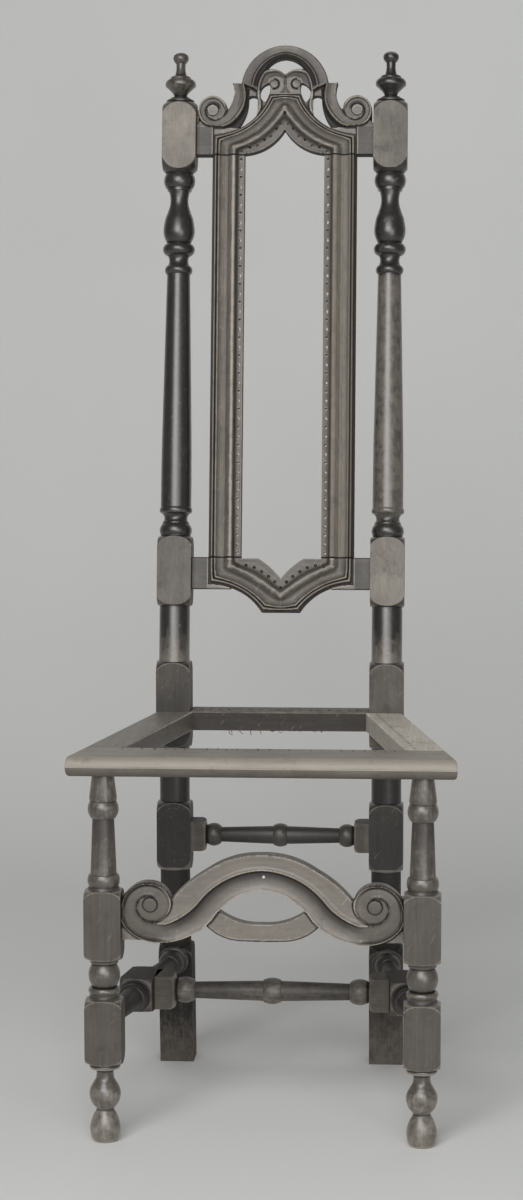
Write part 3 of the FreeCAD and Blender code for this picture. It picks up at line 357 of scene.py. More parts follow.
def ended(nodes, piece, finish):
    """The tree, ended with its piece made real and in its finish."""
    piece = nodes.add("GeometryNodeRealizeInstances", {}, {"Geometry": piece})
    piece = nodes.add("GeometryNodeSetMaterial", {}, {"Geometry": piece, "Material": finish})
    end = nodes.tree.nodes.new("NodeGroupOutput")
    nodes.tree.links.new(piece.socket, end.inputs[0])
    return nodes.tree


def turned_stock_tree():
    """Sweeps a circle up the axis by the radius at each place, and cuts the turning by the faces of
    the square stock that it was made from."""
    block_share = 0.985
    nodes, axis, half, facets, arris, finish = new_tree("turned_stock", {
        "Axis": "Geometry", "Half Stock": "Float", "Facets": "Int", "Arris": "Float", "Finish": "Material"})
    curve = nodes.add("GeometryNodeMeshToCurve", {}, {"Mesh": axis})
    circle = nodes.add("GeometryNodeCurvePrimitiveCircle", {"mode": "RADIUS"}, {
        "Resolution": facets, "Radius": 1.0})
    radius, rubbed = [
        nodes.add("GeometryNodeInputNamedAttribute", {"data_type": "FLOAT"}, {"Name": mark})
        for mark in ("radius", "wear")]
    turning = nodes.add("GeometryNodeCurveToMesh", {}, {
        "Curve": curve, "Profile Curve": circle, "Scale": radius, "Fill Caps": True})
    place = nodes.add("GeometryNodeInputPosition")
    parts = nodes.add("ShaderNodeSeparateXYZ", {}, {0: place}).socket.node
    across, deep, along = [Socket(nodes, socket) for socket in parts.outputs]
    beyond = abs(across).at_least(abs(deep)) - half
    level = nodes.add("ShaderNodeCombineXYZ", {}, {"X": across, "Y": deep})
    from_axis = nodes.add("ShaderNodeVectorMath", {"operation": "LENGTH"}, {0: level}, output=1)
    on_block = (from_axis - half * block_share).over(0.0)
    edge = (1 - abs(beyond) / arris).at_least(0.0) * on_block
    turning = nodes.store(turning, "wear", edge.at_least(rubbed))
    turning = nodes.store(turning, "face", beyond.over(0.0))
    across, deep = [part.at_most(half).at_least(0 - half) for part in (across, deep)]
    squared = nodes.add("ShaderNodeCombineXYZ", {}, {"X": across, "Y": deep, "Z": along})
    turning = nodes.add("GeometryNodeSetPosition", {}, {"Geometry": turning, "Position": squared})
    return ended(nodes, turning, finish)


def grown(name, base, tree, inputs):
    """The plain mesh that a Geometry Nodes tree makes of a base mesh."""
    thing = bpy.data.objects.new(name, base)
    bpy.context.collection.objects.link(thing)
    modifier = thing.modifiers.new("Nodes", "NODES")
    modifier.node_group = tree
    for item in tree.interface.items_tree:
        if item.in_out == "INPUT" and item.name in inputs:
            modifier[item.identifier] = inputs[item.name]
    thing.update_tag()
    seen = thing.evaluated_get(bpy.context.evaluated_depsgraph_get())
    mesh = bpy.data.meshes.new_from_object(seen)
    bpy.data.objects.remove(thing)
    return mesh


def marked(mesh, marks):
    """Stores numbers for the vertices of a mesh, under their names."""
    for name, values in marks.items():
        values = np.array(values, dtype=np.float32)
        mesh.attributes.new(name, "FLOAT", "POINT").data.foreach_set("value", values)


turned_stock = turned_stock_tree()


def turned(outline, finish, bare=((0, 0.6),), rubbed=((0, 0),), facets=96):
    """A turned mesh, in metres, standing on its own axis. bare says how dry the block faces are at
    chosen heights, and rubbed how worn the turned work is."""
    closest, apart, arris = 0.02, 1e-5, 2.4
    points = [outline.points[0]]
    for point in outline.points[1:]:
        if math.dist(point, points[-1]) > closest:
            points.append(point)
    # The turning's hollows are marked for darkening, dirt and painted shade, and its ridges for wear.
    hollow, ridge = hollow_and_ridge(points, outline.unit)
    places, radii = zip(*points)
    axis = bpy.data.meshes.new("axis")
    axis.from_pydata([(0, 0, (place + number * apart) * mm) for number, place in enumerate(places)],
                     [(number, number + 1) for number in range(len(points) - 1)], [])
    dryness, rubbing = [np.interp(places, *zip(*shares)) for shares in (bare, rubbed)]
    marked(axis, {"radius": [max(radius, 0.01) * mm for radius in radii], "hollow": hollow,
                  "wear": np.maximum(ridge, rubbing), "bare": dryness})
    inputs = {"Half Stock": outline.unit * mm, "Facets": facets, "Arris": arris * mm, "Finish": finish}
    return grown("turning", axis, turned_stock, inputs)


def assembled(name, parts, *nodes, slot="dark_wood"):
    """One finished piece from meshes and the places that they are moved to."""
    sharp_from = math.radians(42)
    whole = bmesh.new()
    finishes = [parts[0][0].materials[0]]
    for mesh, place in parts:
        mesh.transform(place)
        first = len(whole.faces)
        whole.from_mesh(mesh)
        if mesh.materials[0] not in finishes:
            finishes.append(mesh.materials[0])
        whole.faces.ensure_lookup_table()
        for face in whole.faces[first:]:
            face.material_index = finishes.index(mesh.materials[0])
    bmesh.ops.recalc_face_normals(whole, faces=whole.faces)
    mesh = bpy.data.meshes.new(name)
    whole.to_mesh(mesh)
    whole.free()
    for finish in finishes:
        mesh.materials.append(finish)
    mesh.shade_smooth()
    mesh.set_sharp_from_angle(angle=sharp_from)
    piece = bpy.data.objects.new(name, mesh)
    bpy.context.collection.objects.link(piece)
    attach(piece, "root")
    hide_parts(*nodes)
    return piece


def moved(x, y, z):
    return Matrix.Translation(Vector((x, y, z)) * mm)


def leant(height, angle):
    """The turn about a line across the chair, at that height on the posts."""
    return moved(0, post_y, height) @ Matrix.Rotation(angle, 4, "X") @ moved(0, -post_y, -height)


as_made = Matrix.Identity(4)
turned_wood = old_wood("turned_wood", "z", (0.018, 0.0155, 0.013), (0.16, 0.142, 0.12), 0.34, coat=1.0)
# The feet are darker and duller than the turned wood above them: painted shade.
foot_wood_and_shade = old_wood("foot_wood_and_shade", "z", (0.016, 0.0135, 0.011), (0.1, 0.088, 0.075), 0.55, coat=0.0)


def back_post(side):
    """The parts of a post, more worn on the left (side below zero) than on the right."""
    worn_side = side < 0
    lower_bare = list(zip((rear_stretcher_height, seat_height), (0.0, 0.21) if worn_side else (0.08, 0.34)))
    upper_bare = list(zip((panel_low, crest_low), (0.34, 0.6) if worn_side else (0.53, 0.43)))
    low, high, column = panel_low + 68, panel_low + 370, 0.25 if worn_side else 0.74
    upper_rubbed = (
        (panel_block_low, 0.0), (low - 40, 0.2), (low, column), (high, column), (high + 8, 0.1),
        (crest_low + 60, 0.1), (crest_low + 90, 0.6 if worn_side else 0.2))
    rounding = 14
    middle = Outline(rear_block_low - block_gap, half_stock)
    middle.block(rear_block_low, rear_block_high, rounding, rounding)
    middle.block(seat_block_low, back_bend, rounding, rounding)
    foot = Outline(-under_floor, half_stock)
    foot.line(half_stock * corner_share, -under_floor)
    foot.block_end(foot_block_high, rounding=-12)
    foot.line(half_stock * neck_share, foot_bend)
    back = Outline(back_bend - hidden_length, half_stock)
    back.line(half_stock * shoulder_share, back_bend - hidden_length)
    back.line(half_stock * shoulder_share, panel_block_low - shoulder_gap)
    back.block(panel_block_low, panel_block_high, rounding, rounding)
    back.stretch(panel_block_high, crest_block_low, column_shares)
    back.block(crest_block_low, crest_block_high, rounding_low=21, rounding_high=19)
    back.stretch(crest_block_high, finial_top, finial_shares)
    upright = moved(side * post_x, post_y, 0)
    # The left foot's block faces are kept dark, not dry like the right's: painted shade.
    foot_mesh = turned(foot, foot_wood_and_shade, ((0, 0.0 if worn_side else 0.22),))
    foot_mesh.transform(leant(foot_bend, foot_rake) @ upright)
    on_floor = bmesh.new()
    on_floor.from_mesh(foot_mesh)
    everything = on_floor.verts[:] + on_floor.edges[:] + on_floor.faces[:]
    bmesh.ops.bisect_plane(
        on_floor, geom=everything, plane_co=(0, 0, 0), plane_no=(0, 0, 1), clear_inner=True)
    bmesh.ops.holes_fill(on_floor, edges=[edge for edge in on_floor.edges if edge.is_boundary])
    on_floor.to_mesh(foot_mesh)
    on_floor.free()
    return [
        (foot_mesh, as_made),
        (turned(middle, turned_wood, lower_bare), upright),
        (turned(back, turned_wood, upper_bare, upper_rubbed), leant(back_bend, -back_rake) @ upright),
    ]


sides = ((1, "right"), (-1, "left"))
for side, hand in sides:
    assembled("turned_back_post_" + hand, back_post(side), "back_post_" + hand)

# Crest rail. It is sawn from one board, pierced and carved: a moulding that rises to a point over
# the panel, an arch with volutes at its feet, and a pair of small scrolls under the arch. Its ends
# are tenoned into the posts and pegged from behind.
panel_front = 14.0
panel_back = 10.0
ridge_x = 66.2
inner_x = 52.75
panel_half = 95.5
moulding_depth = 9.0
# Across the moulding, its places run from 0 at the outer edge by 1 at the ridge to 2 at the cane
panel_moulding_shares = (
    (0.0, 1.0), (0.105, 1.0), (0.118, 0.35), (0.135, 0.1), (0.165, 0.0), (0.195, 0.06), (0.215, 0.22),
    (0.225, 0.5), (0.245, 0.5), (0.26, 0.24), (0.29, 0.16), (0.33, 0.24), (0.35, 0.44), (0.4, 0.53),
    (0.48, 0.64), (0.6, 0.76), (0.72, 0.66), (0.82, 0.34), (0.87, 0.12), (0.93, 0.02), (1.0, 0.0),
    (1.1, 0.03), (1.22, 0.22), (1.33, 0.46), (1.48, 0.56), (1.75, 0.53), (2.0, 0.45),
)

# Painted shade across the moulding, with dirt: black at its outer edge, dark in its quirks and on the drop
# beyond the ridge.
panel_soot_shares = (
    (0.0, 1.0), (0.092, 1.0), (0.115, 0.0), (0.165, 0.0), (0.19, 0.7), (0.235, 0.6), (0.27, 0.1),
    (0.31, 0.1), (0.36, 0.4), (0.44, 0.2), (0.62, 0.0), (0.8, 0.25), (0.88, 0.0), (1.04, 0.0),
    (1.12, 0.4), (1.25, 0.7), (1.45, 0.55), (1.7, 0.35), (2.0, 0.15),
)
panel_rub_shares = (
    (0.0, 0.0), (0.11, 0.0), (0.12, 1.0), (0.165, 1.0), (0.19, 0.0), (0.26, 0.0), (0.295, 0.4), (0.33, 0.0),
    (0.52, 0.0), (0.62, 0.25), (0.72, 0.0), (0.86, 0.0), (0.93, 0.8), (1.0, 0.8), (1.07, 0.0), (2.0, 0.0),
)


def drawn(start, *moves):
    """Points along an outline: a move with two points is an arc through the first to the second."""
    points = [start]
    for move in moves:
        if isinstance(move[0], tuple):
            points += arc_points(points[-1], move[0], move[1], 2.0)
        else:
            points.append(move)
    return np.array(points, dtype=float)


def away(line, u, v):
    """How far each place is from a line."""
    nearest = np.full(u.shape, 1e9)
    for (x1, y1), (x2, y2) in zip(line[:-1], line[1:]):
        run = max((x2 - x1) ** 2 + (y2 - y1) ** 2, 1e-9)
        share = np.clip(((u - x1) * (x2 - x1) + (v - y1) * (y2 - y1)) / run, 0, 1)
        nearest = np.minimum(nearest, (u - x1 - share * (x2 - x1)) ** 2 + (v - y1 - share * (y2 - y1)) ** 2)
    return np.sqrt(nearest)


def within(outline, u, v):
    """True for each place inside a closed outline."""
    inside = np.zeros(u.shape, dtype=bool)
    for (x1, y1), (x2, y2) in zip(outline, np.roll(outline, -1, axis=0)):
        if y1 != y2:
            crossing = (x2 - x1) * (v - y1) / (y2 - y1) + x1
            inside ^= ((y1 > v) != (y2 > v)) & (u < crossing)
    return inside


def depth_in(outline, u, v):
    """How far each place lies in from an outline, or out from it below zero. An outline that starts
    and ends on the middle line is half of one with two like sides."""
    half = outline[0][0] == outline[-1][0] == 0
    distance = away(outline if half else np.vstack([outline, outline[:1]]), u, v)
    return np.where(within(outline, u, v), distance, -distance)


def stepped(distance, *places):
    """A depth that follows the distance from a line, through places of distance and depth."""
    return np.interp(distance, *zip(*places))


def moulded(guides, shares, u, v):
    """The depth of a moulding between guide lines, as a share, and not a number outside it."""
    outer, ridge, inner = guides
    far, middle, near = [away(line, u, v) for line in guides]
    place = np.full(u.shape, np.nan)
    first = within(np.vstack([outer, ridge[::-1]]), u, v)
    second = within(np.vstack([ridge, inner[::-1]]), u, v)
    place[first] = (far / (far + middle + 1e-9))[first]
    place[second] = 1 + (middle / (middle + near + 1e-9))[second]
    return stepped(place, *shares)


def coiled(centre, turns, step=6):
    """Points along a spiral, from its radius at chosen angles in degrees."""
    angles = np.arange(turns[0][0], turns[-1][0] + 0.5, step)
    radius = stepped(angles, *turns)
    angles = np.radians(angles)
    return np.stack([centre[0] + radius * np.cos(angles), centre[1] + radius * np.sin(angles)], 1)


def right_half(u):
    """The places on the right that are like those on both sides, just off the middle line."""
    return np.abs(u) + 1e-4


def share_between(first, second):
    """0 on the first line and 1 on the second, from the distances to both."""
    return first / (first + second + 1e-6)


def laid_over(ground, part):
    """A part over the ground, where the part is a number."""
    return np.where(np.isnan(part), ground, part)


def round_centre(centre, u, v):
    """How far each place lies from a centre, and in which direction, in degrees."""
    across, up = u - centre[0], v - centre[1]
    return np.hypot(across, up), np.degrees(np.arctan2(up, across)) % 360


def blurred(values, known, reach):
    """The mean of the known values round each place."""
    total, weight = np.where(known, values, 0.0), known.astype(float)
    for axis in (0, 1):
        kernel = np.ones(2 * reach[axis] + 1)
        total = np.apply_along_axis(np.convolve, axis, total, kernel, "same")
        weight = np.apply_along_axis(np.convolve, axis, weight, kernel, "same")
    return total / np.maximum(weight, 1e-6)


def nowhere(u, v):
    return np.zeros(u.shape)


def carved(name, columns, rows, inside, front, back, finish, arris=0.9, level=1.2, seams=(), soot=nowhere,
           rub=nowhere, sides=0.8, bare=0.0, behind=0.25):
    """A board carved on a grid of columns and rows. inside, front and back give, for places in mm,
    the distance in from the outline and the depths of both faces. arris is the radius of its
    edges, level the depth of a full hollow, and seams the rows where it meets the next board.
    rub gives the wear of places and the mark before it their dirt and painted shade; sides gives the
    painted shade of the sawn edges, the last mark that of the back, and bare how dry the wood is."""
    blur_reach, worn_edge, seam_width, lip_share = 3.0, 1.8, 1.6, 0.3
    u, v = np.meshgrid(columns, rows, indexing="ij")
    deep = inside(u, v)
    kept = np.maximum.reduce([deep[:-1, :-1], deep[1:, :-1], deep[1:, 1:], deep[:-1, 1:]]) > 0
    slope_u, slope_v = np.gradient(deep, columns, rows)
    steep = np.maximum(np.hypot(slope_u, slope_v), 0.3)
    out = np.where(deep < 0, -deep, 0) / steep
    u = np.clip(u + slope_u / steep * out, columns[0], columns[-1])
    v = np.clip(v + slope_v / steep * out, rows[0], rows[-1])
    deep = np.maximum(deep, 0)
    used = np.zeros(u.shape, dtype=bool)
    for across in (slice(None, -1), slice(1, None)):
        for up in (slice(None, -1), slice(1, None)):
            used[across, up] |= kept
    face = front(u, v, deep)
    reach = [max(1, round(blur_reach / np.median(np.diff(line)))) for line in (columns, rows)]
    around = blurred(face, used, reach)
    # The dark marks and the places below the work round them are darkened: dirt and painted shade.
    sooty = soot(u, v)
    hollow = np.maximum(np.clip((face - around) / level, 0, 1), sooty)
    edge = np.clip(1 - deep / worn_edge, 0, 1)
    ridge = np.clip((around - face - 0.1) / level, 0, 1)
    wear = np.maximum.reduce([ridge, edge * 0.8, rub(u, v)]) * (1 - sooty)
    for seam in seams:
        near = np.clip(seam_width - np.abs(v - seam), 0, 1)
        hollow, wear, edge = np.maximum(hollow, near), wear * (1 - near), edge * (1 - near)
    round_off = arris - np.sqrt(np.maximum(arris ** 2 - np.maximum(arris - deep, 0) ** 2, 0))
    ends = [face + round_off, back(u, v, deep) - round_off]
    number = np.full(u.shape, -1)
    number[used] = np.arange(used.sum())
    count = int(used.sum())
    a, b = number[:-1, :-1][kept], number[1:, :-1][kept]
    c, d = number[1:, 1:][kept], number[:-1, 1:][kept]
    quads = [np.stack([a, b, c, d], 1), np.stack([d, c, b, a], 1) + count]
    ring = np.pad(kept, 1)
    rims = []
    for shift_u, shift_v, first, second in (
        (-1, 0, (0, 1), (0, 0)), (1, 0, (1, 0), (1, 1)), (0, -1, (0, 0), (1, 0)), (0, 1, (1, 1), (0, 1)),
    ):
        beside = ring[1 + shift_u:ring.shape[0] - 1 + shift_u, 1 + shift_v:ring.shape[1] - 1 + shift_v]
        rim_u, rim_v = np.nonzero(kept & ~beside)
        rims.append(np.stack([number[rim_u + first[0], rim_v + first[1]],
                              number[rim_u + second[0], rim_v + second[1]]], 1))
    rims = np.vstack(rims)
    lip, lips = np.unique(rims, return_inverse=True)
    lips = lips.reshape(rims.shape) + 2 * count
    levels = (rims, lips, lips + len(lip), rims + count)
    quads += [np.stack([a[:, 1], a[:, 0], b[:, 0], b[:, 1]], 1) for a, b in zip(levels, levels[1:])]
    places = [np.stack([u[used], depth[used], v[used]], 1) for depth in ends]
    places += [places[0][lip], places[1][lip]]
    lip_depth = np.minimum(1.0, lip_share * (places[3][:, 1] - places[2][:, 1]))
    places[2][:, 1] += lip_depth
    places[3][:, 1] -= lip_depth
    vertices = np.vstack(places) * mm
    mesh = bpy.data.meshes.new(name)
    mesh.from_pydata(vertices.tolist(), [], np.vstack(quads).tolist())
    # The top's hollows, the back and the sawn sides take dirt and painted shade.
    marked(mesh, {
        "hollow": np.concatenate([hollow[used], np.full(count, behind), np.full(2 * len(lip), sides)]),
        "wear": np.concatenate([wear[used], edge[used] * 0.5, np.zeros(2 * len(lip))]),
        "face": np.full(len(vertices), float(bare > 0)),
        "bare": np.full(len(vertices), bare),
    })
    mesh.materials.append(finish)
    return mesh


def even(low, high, step):
    """Places from low to high, evenly spaced by about a step."""
    return np.linspace(low, high, round((high - low) / step) + 1)


def cane_hole_tree():
    """Bores a round hole through a piece at each point of a row, every other one at a slant."""
    nodes, piece, row, diameter, depth, turn, slant, finish = new_tree("cane_holes", {
        "Piece": "Geometry", "Row": "Object", "Hole Diameter": "Float", "Hole Depth": "Float",
        "Turn": "Float", "Slant": "Float", "Finish": "Material"})
    points = nodes.add("GeometryNodeObjectInfo", {}, {"Object": row}, output=4)
    hole = nodes.add("GeometryNodeMeshCylinder", {}, {
        "Vertices": 12, "Radius": diameter * 0.5, "Depth": depth})
    # The walls of the holes are marked black: painted shade, with dirt.
    hole = nodes.store(hole, "hollow", 1.0)
    number = nodes.add("GeometryNodeInputIndex")
    every_other = number.sum("MODULO", number, 2)
    angle = nodes.add("ShaderNodeCombineXYZ", {}, {"X": turn + slant * every_other})
    holes = nodes.add("GeometryNodeInstanceOnPoints", {}, {
        "Points": points, "Instance": hole, "Rotation": angle})
    holes = nodes.add("GeometryNodeRealizeInstances", {}, {"Geometry": holes})
    bored = nodes.add("GeometryNodeMeshBoolean", {"operation": "DIFFERENCE", "solver": "MANIFOLD"}, {
        "Mesh 1": piece, "Mesh 2": holes})
    return ended(nodes, bored, finish)


cane_holes = cane_hole_tree()
cane_diameter = 3.6
through = 60
facing_back = math.pi / 2


def point_row(places):
    """A mesh of loose points, at places in mm."""
    row = bpy.data.meshes.new("row")
    row.from_pydata([Vector(place) * mm for place in places], [], [])
    return row


def bored(mesh, places, diameter, turn, slant, finish):
    """The piece with a hole at each place, in mm."""
    rows = bpy.data.objects.new("row", point_row(places))
    bpy.context.collection.objects.link(rows)
    inputs = {"Row": rows, "Hole Diameter": diameter * mm, "Hole Depth": through * mm, "Turn": turn,
              "Slant": slant, "Finish": finish}
    result = grown("bored", mesh, cane_holes, inputs)
    bpy.data.objects.remove(rows)
    return result


def hole_places(line, spacing):
    """Both sides' holes along a line, from its end to the middle."""
    lengths = np.concatenate([[0], np.cumsum(np.hypot(*np.diff(line, axis=0).T))])
    gaps = math.floor(lengths[-1] / spacing)
    along = [number / gaps * lengths[-1] for number in range(gaps + 1)]
    right = list(zip(np.interp(along, lengths, line[:, 0]), np.interp(along, lengths, line[:, 1])))
    left = [(-x, z) for x, z in right if x > 0.5]
    return [(x, 0, z) for x, z in right + left]


panel_wood = old_wood("panel_wood", "x", (0.108, 0.095, 0.08), dry_grey, 0.4, figure=0.8)
post_inner = post_x - half_stock


def plain_back(u, v, deep):
    return np.full(u.shape, panel_back)


def panel_rail(name, guides, rows, inside, face, soot, hole_line, turn, slant):
    """A rail of the back, bored along its inner edge for the cane."""
    spacing, diameter = 9.6, 4.6

    def rub(u, v):
        return 0.6 * laid_over(0, moulded(guides, panel_rub_shares, right_half(u), v))

    # Its sawn sides are black: painted shade.
    board = carved(name, even(-post_inner, post_inner, 0.8), rows, inside, face, plain_back, panel_wood,
                   seams=(0,), soot=soot, rub=rub, sides=1.0)
    return bored(board, hole_places(hole_line, spacing), diameter, turn, slant, panel_wood)


crest_guides = (
    drawn((95.5, 0), (95.5, 28.7), ((53.3, 40.5), (21.6, 81.5)), (0, 81.5)),
    drawn((66.2, 0), (66.2, 9), ((33.6, 24.5), (0, 62))),
    drawn((52.75, 0), (52.75, 1.5), ((23.6, 10.4), (0, 34))),
)
crest_hole_line = drawn((56.5, 4.5), ((28.0, 17.0), (0, 51.0)))
crest_volute = (95.5, 59.4)
arch_outline = drawn(
    (0, 62), (33.6, 24.5), (66.2, 14.35), (95.5, 14.35), (115, 28.7), (115, 59.6),
    ((95.5, 79.1), (76, 59.6)), ((67.6, 78.7), (69.8, 96.2)), (57.5, 95.6), ((40.2, 129.2), (0, 145.8)))
crescent_void = drawn((0, 107), ((7.9, 113.2), (18.5, 115.5)), (25.5, 114.8), ((14.5, 125.6), (0, 129.9)))
teardrop_void = drawn(
    (48.5, 77), ((51.5, 56), (62.5, 36.5)), ((46.5, 42.3), (36.4, 62)), (36.6, 77),
    ((42.5, 79.4), (48.5, 77)))
scroll_slot = drawn((21, 96.8), ((33.2, 86), (27.0, 71.0)), ((20.5, 84), (21, 96.8)))
arch_lines = (
    drawn((57.5, 95.6), ((40.2, 129.2), (0, 145.8))),
    drawn((43.0, 89.5), ((33.2, 117.0), (0, 134.5))),
    drawn((36.9, 86), ((33.8, 103), (25.5, 114.8)), ((14.5, 125.6), (0, 129.9))),
)
arch_shares = (
    (0.0, 2.6), (0.12, 2.0), (0.45, 2.8), (0.72, 3.6), (0.86, 4.2), (0.93, 3.4), (0.97, 1.4), (1.0, 1.0),
    (1.25, 1.1), (1.5, 3.0), (2.0, 4.5),
)
# Painted shade: black in the reveal under the arch's ridge, and darker over the arch band, with dirt.
arch_edge_soot = ((0, 0), (0.94, 0), (0.97, 0.3), (1.02, 0), (1.12, 0.9), (2, 1))
arch_body_soot = ((0, 0), (0.06, 0.4), (0.85, 0.45), (0.93, 0), (2, 0))
# The same painted shade on the crest's moulding, lighter at its outer edge.
crest_panel_soot = (
    (0.0, 0.3), (0.092, 0.3), (0.115, 0.0), (0.165, 0.0), (0.19, 0.35), (0.235, 0.3),
) + panel_soot_shares[6:]
side_ridge = drawn((55.5, 95.4), (53.3, 86.2), ((55.6, 64), (68, 46.2)), ((78.5, 39.5), (93.6, 38.2)))
side_lines = (drawn((69.8, 96.2), ((67.6, 78.7), (76.4, 60.5))), side_ridge)
side_reveal = drawn((47.5, 88), (48.5, 77), ((51.5, 56), (62.5, 36.5)))
volute_rim = np.vstack([side_ridge, coiled(crest_volute, (
    (-88, 20.6), (-60, 19.4), (-20, 18.0), (90, 17.6), (180, 17.0), (270, 11.4), (360, 7.9), (400, 7.4)))])
volute_groove = np.vstack([side_lines[0], coiled(crest_volute, (
    (178, 19.0), (215, 15.2), (270, 12.5), (320, 10.4), (360, 9.4), (450, 8.5), (500, 8.2)))])
scroll_rim = drawn(
    (43.9, 46.7), ((37.2, 58), (36.9, 77.3)), ((35.9, 98), (30.1, 110.8)), ((18.0, 115.6), (7.9, 113.2)),
    (0, 107))
scroll_eye = (14.8, 95.2)
coil_radius = 19.3
rail_end_height = 43
rail_end_depth = 6.0
reveal = np.vstack([side_ridge, side_reveal[::-1]])
coil_band = np.vstack([
    side_lines[0], [crest_volute], coiled(crest_volute, ((0, 19), (5, 19))),
    volute_rim[::-1][-len(side_ridge):]])


def crest_inside(u, v):
    u = right_half(u)
    band = depth_in(np.vstack([crest_guides[0][::-1], crest_guides[2]]), u, v)
    arch = depth_in(arch_outline, u, v)
    for void in (crescent_void, teardrop_void, scroll_slot):
        arch = np.minimum(arch, -depth_in(void, u, v))
    ends = np.minimum.reduce([u - ridge_x, post_inner - u, v, rail_end_height - v])
    return np.maximum.reduce([band, arch, ends])


def scroll_places(u, v):
    """How far each place lies from the eye of the small scroll, and whether it lies beside the
    scroll's groove, and in the wedge between the two scrolls."""
    eye, turn = round_centre(scroll_eye, u, v)
    return eye, (turn > 85) & (turn < 285), (v > 84) & (v < 106) & (u < 9)


def crest_face(u, v, deep):
    """The small scrolls first, then the parts that lie over them: the plain ground and ends, the
    reveal, the arch, the volute and the moulding of the panel."""
    scroll_ground, groove_depth, flat_ground = 6.8, 9.4, 10.5
    u = right_half(u)
    taper = stepped(u, (0, 0.35), (9, 0.6), (18, 1.0))
    rim = away(scroll_rim, u, v) / taper
    relief = stepped(rim, (0, 0.8), (0.8, 0.0), (3.4, 0.3), (4.2, 3.0), (7, 2.6), (12, 1.0))
    face = scroll_ground + relief * (0.3 + 0.7 * taper)
    eye, beside, wedge = scroll_places(u, v)
    groove = np.where(beside, groove_depth, face)
    valley = np.where(v > 95, np.clip(1 - u / 3, 0, 1) ** 2, np.clip((eye - 13.2) / 2.2, 0, 1))
    face = np.where(wedge, face + 1.3 * valley, face)
    face = np.where((eye < 7.4) & (v > 84), np.where(eye < 5.5, 6.2 + (eye / 5.5) ** 2 * 0.7, groove), face)
    face = np.where((u > 36.9) & (v < 92), flat_ground, face)
    face = np.where((u > 60) & (v < 45), np.where(u > panel_half, rail_end_depth, 8.5), face)
    inner = stepped(away(side_ridge, u, v), (0, 1.2), (0.7, 3.4), (1.4, 9.0), (5, 12.0))
    face = np.where(within(reveal, u, v), inner, face)
    face = laid_over(face, moulded(arch_lines, arch_shares, u, v))
    radius, turn = round_centre(crest_volute, u, v)
    under = (radius < 20.8) & (v < crest_volute[1]) & (u > 76)
    coil = within(coil_band, u, v) | (radius < coil_radius) | (under & (radius < 20.6))
    share = share_between(away(volute_groove, u, v), away(volute_rim, u, v))
    swept = stepped(share, (0, 2.6), (0.5, 3.2), (0.76, 4.4), (0.88, 4.2), (0.95, 1.8), (1, 1.1))
    rolled = stepped(share, (0, 6.4), (0.12, 5.6), (0.4, 3.8), (0.7, 3.4), (0.82, 4.0), (0.88, 1.6),
                     (1, 0.8))
    lower = np.where(radius < coil_radius, 1, np.clip((68 - v) / 10, 0, 1))
    bands = swept * (1 - lower) + rolled * lower
    bands = np.where((radius > 18.6) & (v > crest_volute[1]) & (u > crest_volute[0] - 18), 1.5, bands)
    bands = np.where(radius < 7.2, 1.6, bands)
    face = np.where(coil & ~within(reveal, u, v), bands, face)
    face = laid_over(face, moulded(crest_guides, panel_moulding_shares, u, v) * moulding_depth)
    face = np.where((u > panel_half) & (v < 38) & (radius > 20.8), rail_end_depth, face)
    return face - panel_front


# Painted shade and dirt on the crest: black in the reveal and under the ledge at the arch's foot, dark
# round the scrolls' eyes, in the wedge between the scrolls, over the arch and the volutes' bands, and at
# the ends by the posts.
def crest_soot(u, v):
    u = right_half(u)
    soot = laid_over(0, moulded(arch_lines, arch_edge_soot, u, v))
    soot = np.where(within(reveal, u, v) & (away(side_ridge, u, v) > 0.8), 1, soot)
    soot = np.where((u > 36.9) & (u < 48) & (v > 76) & (v < 92), np.where(v < 80, 0.9, 0.35), soot)
    eye, beside, wedge = scroll_places(u, v)
    soot = np.where((eye > 5.2) & (eye < 7.6) & beside, 0.9, soot)
    apart = np.where(v > 95, np.clip(0.9 - u, 0, 0.4), np.clip((eye - 14.2) / 2, 0, 0.5))
    arch = laid_over(0, moulded(arch_lines, arch_body_soot, u, v))
    radius, turn = round_centre(crest_volute, u, v)
    off_ridges = (away(side_ridge, u, v) > 1.5) & (away(volute_rim, u, v) > 1.5)
    band = (u > 55) & (v > 39) & off_ridges & (radius > 7.6)
    ends = stepped(u, (panel_half, 0), (panel_half + 2, 0.56), (post_inner, 0.48))
    soot = np.maximum.reduce([
        soot, np.where(wedge, apart, 0), arch * np.clip(u / 25, 0.3, 1), np.where(band, 0.4, 0),
        np.where(v < 38, ends, 0)])
    return laid_over(soot, moulded(crest_guides, crest_panel_soot, u, v))


crest = panel_rail("crest", crest_guides, even(0, 145.8, 0.8), crest_inside, crest_face, crest_soot,
                   crest_hole_line, facing_back, -0.3)
crest_place = leant(back_bend, -back_rake) @ moved(0, post_y, crest_low)
assembled("carved_crest_rail", [(crest, crest_place)], "crest_rail")

# Lower rail of the back. The same moulding runs down from the stiles, and dips to a flat in the
# middle; its plain ends are tenoned into the posts and pegged from behind.
lower_guides = (
    drawn((95.5, 0), (95.5, -36), ((48.0, -48.6), (25.0, -72.0)), (0, -72.0)),
    drawn((66.2, 0), (66.2, -10.8), ((34.2, -26.5), (0, -49.7))),
    drawn((52.75, 0), (52.75, -1.5), (30.0, -1.5), ((14.8, -12.6), (0, -28.0))),
)
lower_hole_line = drawn((56.5, -6.0), (40, -7.5), ((22.0, -17.0), (0, -36.5)))
lower_end_height = 41.3


def lower_inside(u, v):
    u = right_half(u)
    band = depth_in(np.vstack([lower_guides[0][::-1], lower_guides[2]]), u, v)
    ends = np.minimum.reduce([u - ridge_x, post_inner - u, -v, v + lower_end_height])
    return np.maximum(band, ends)


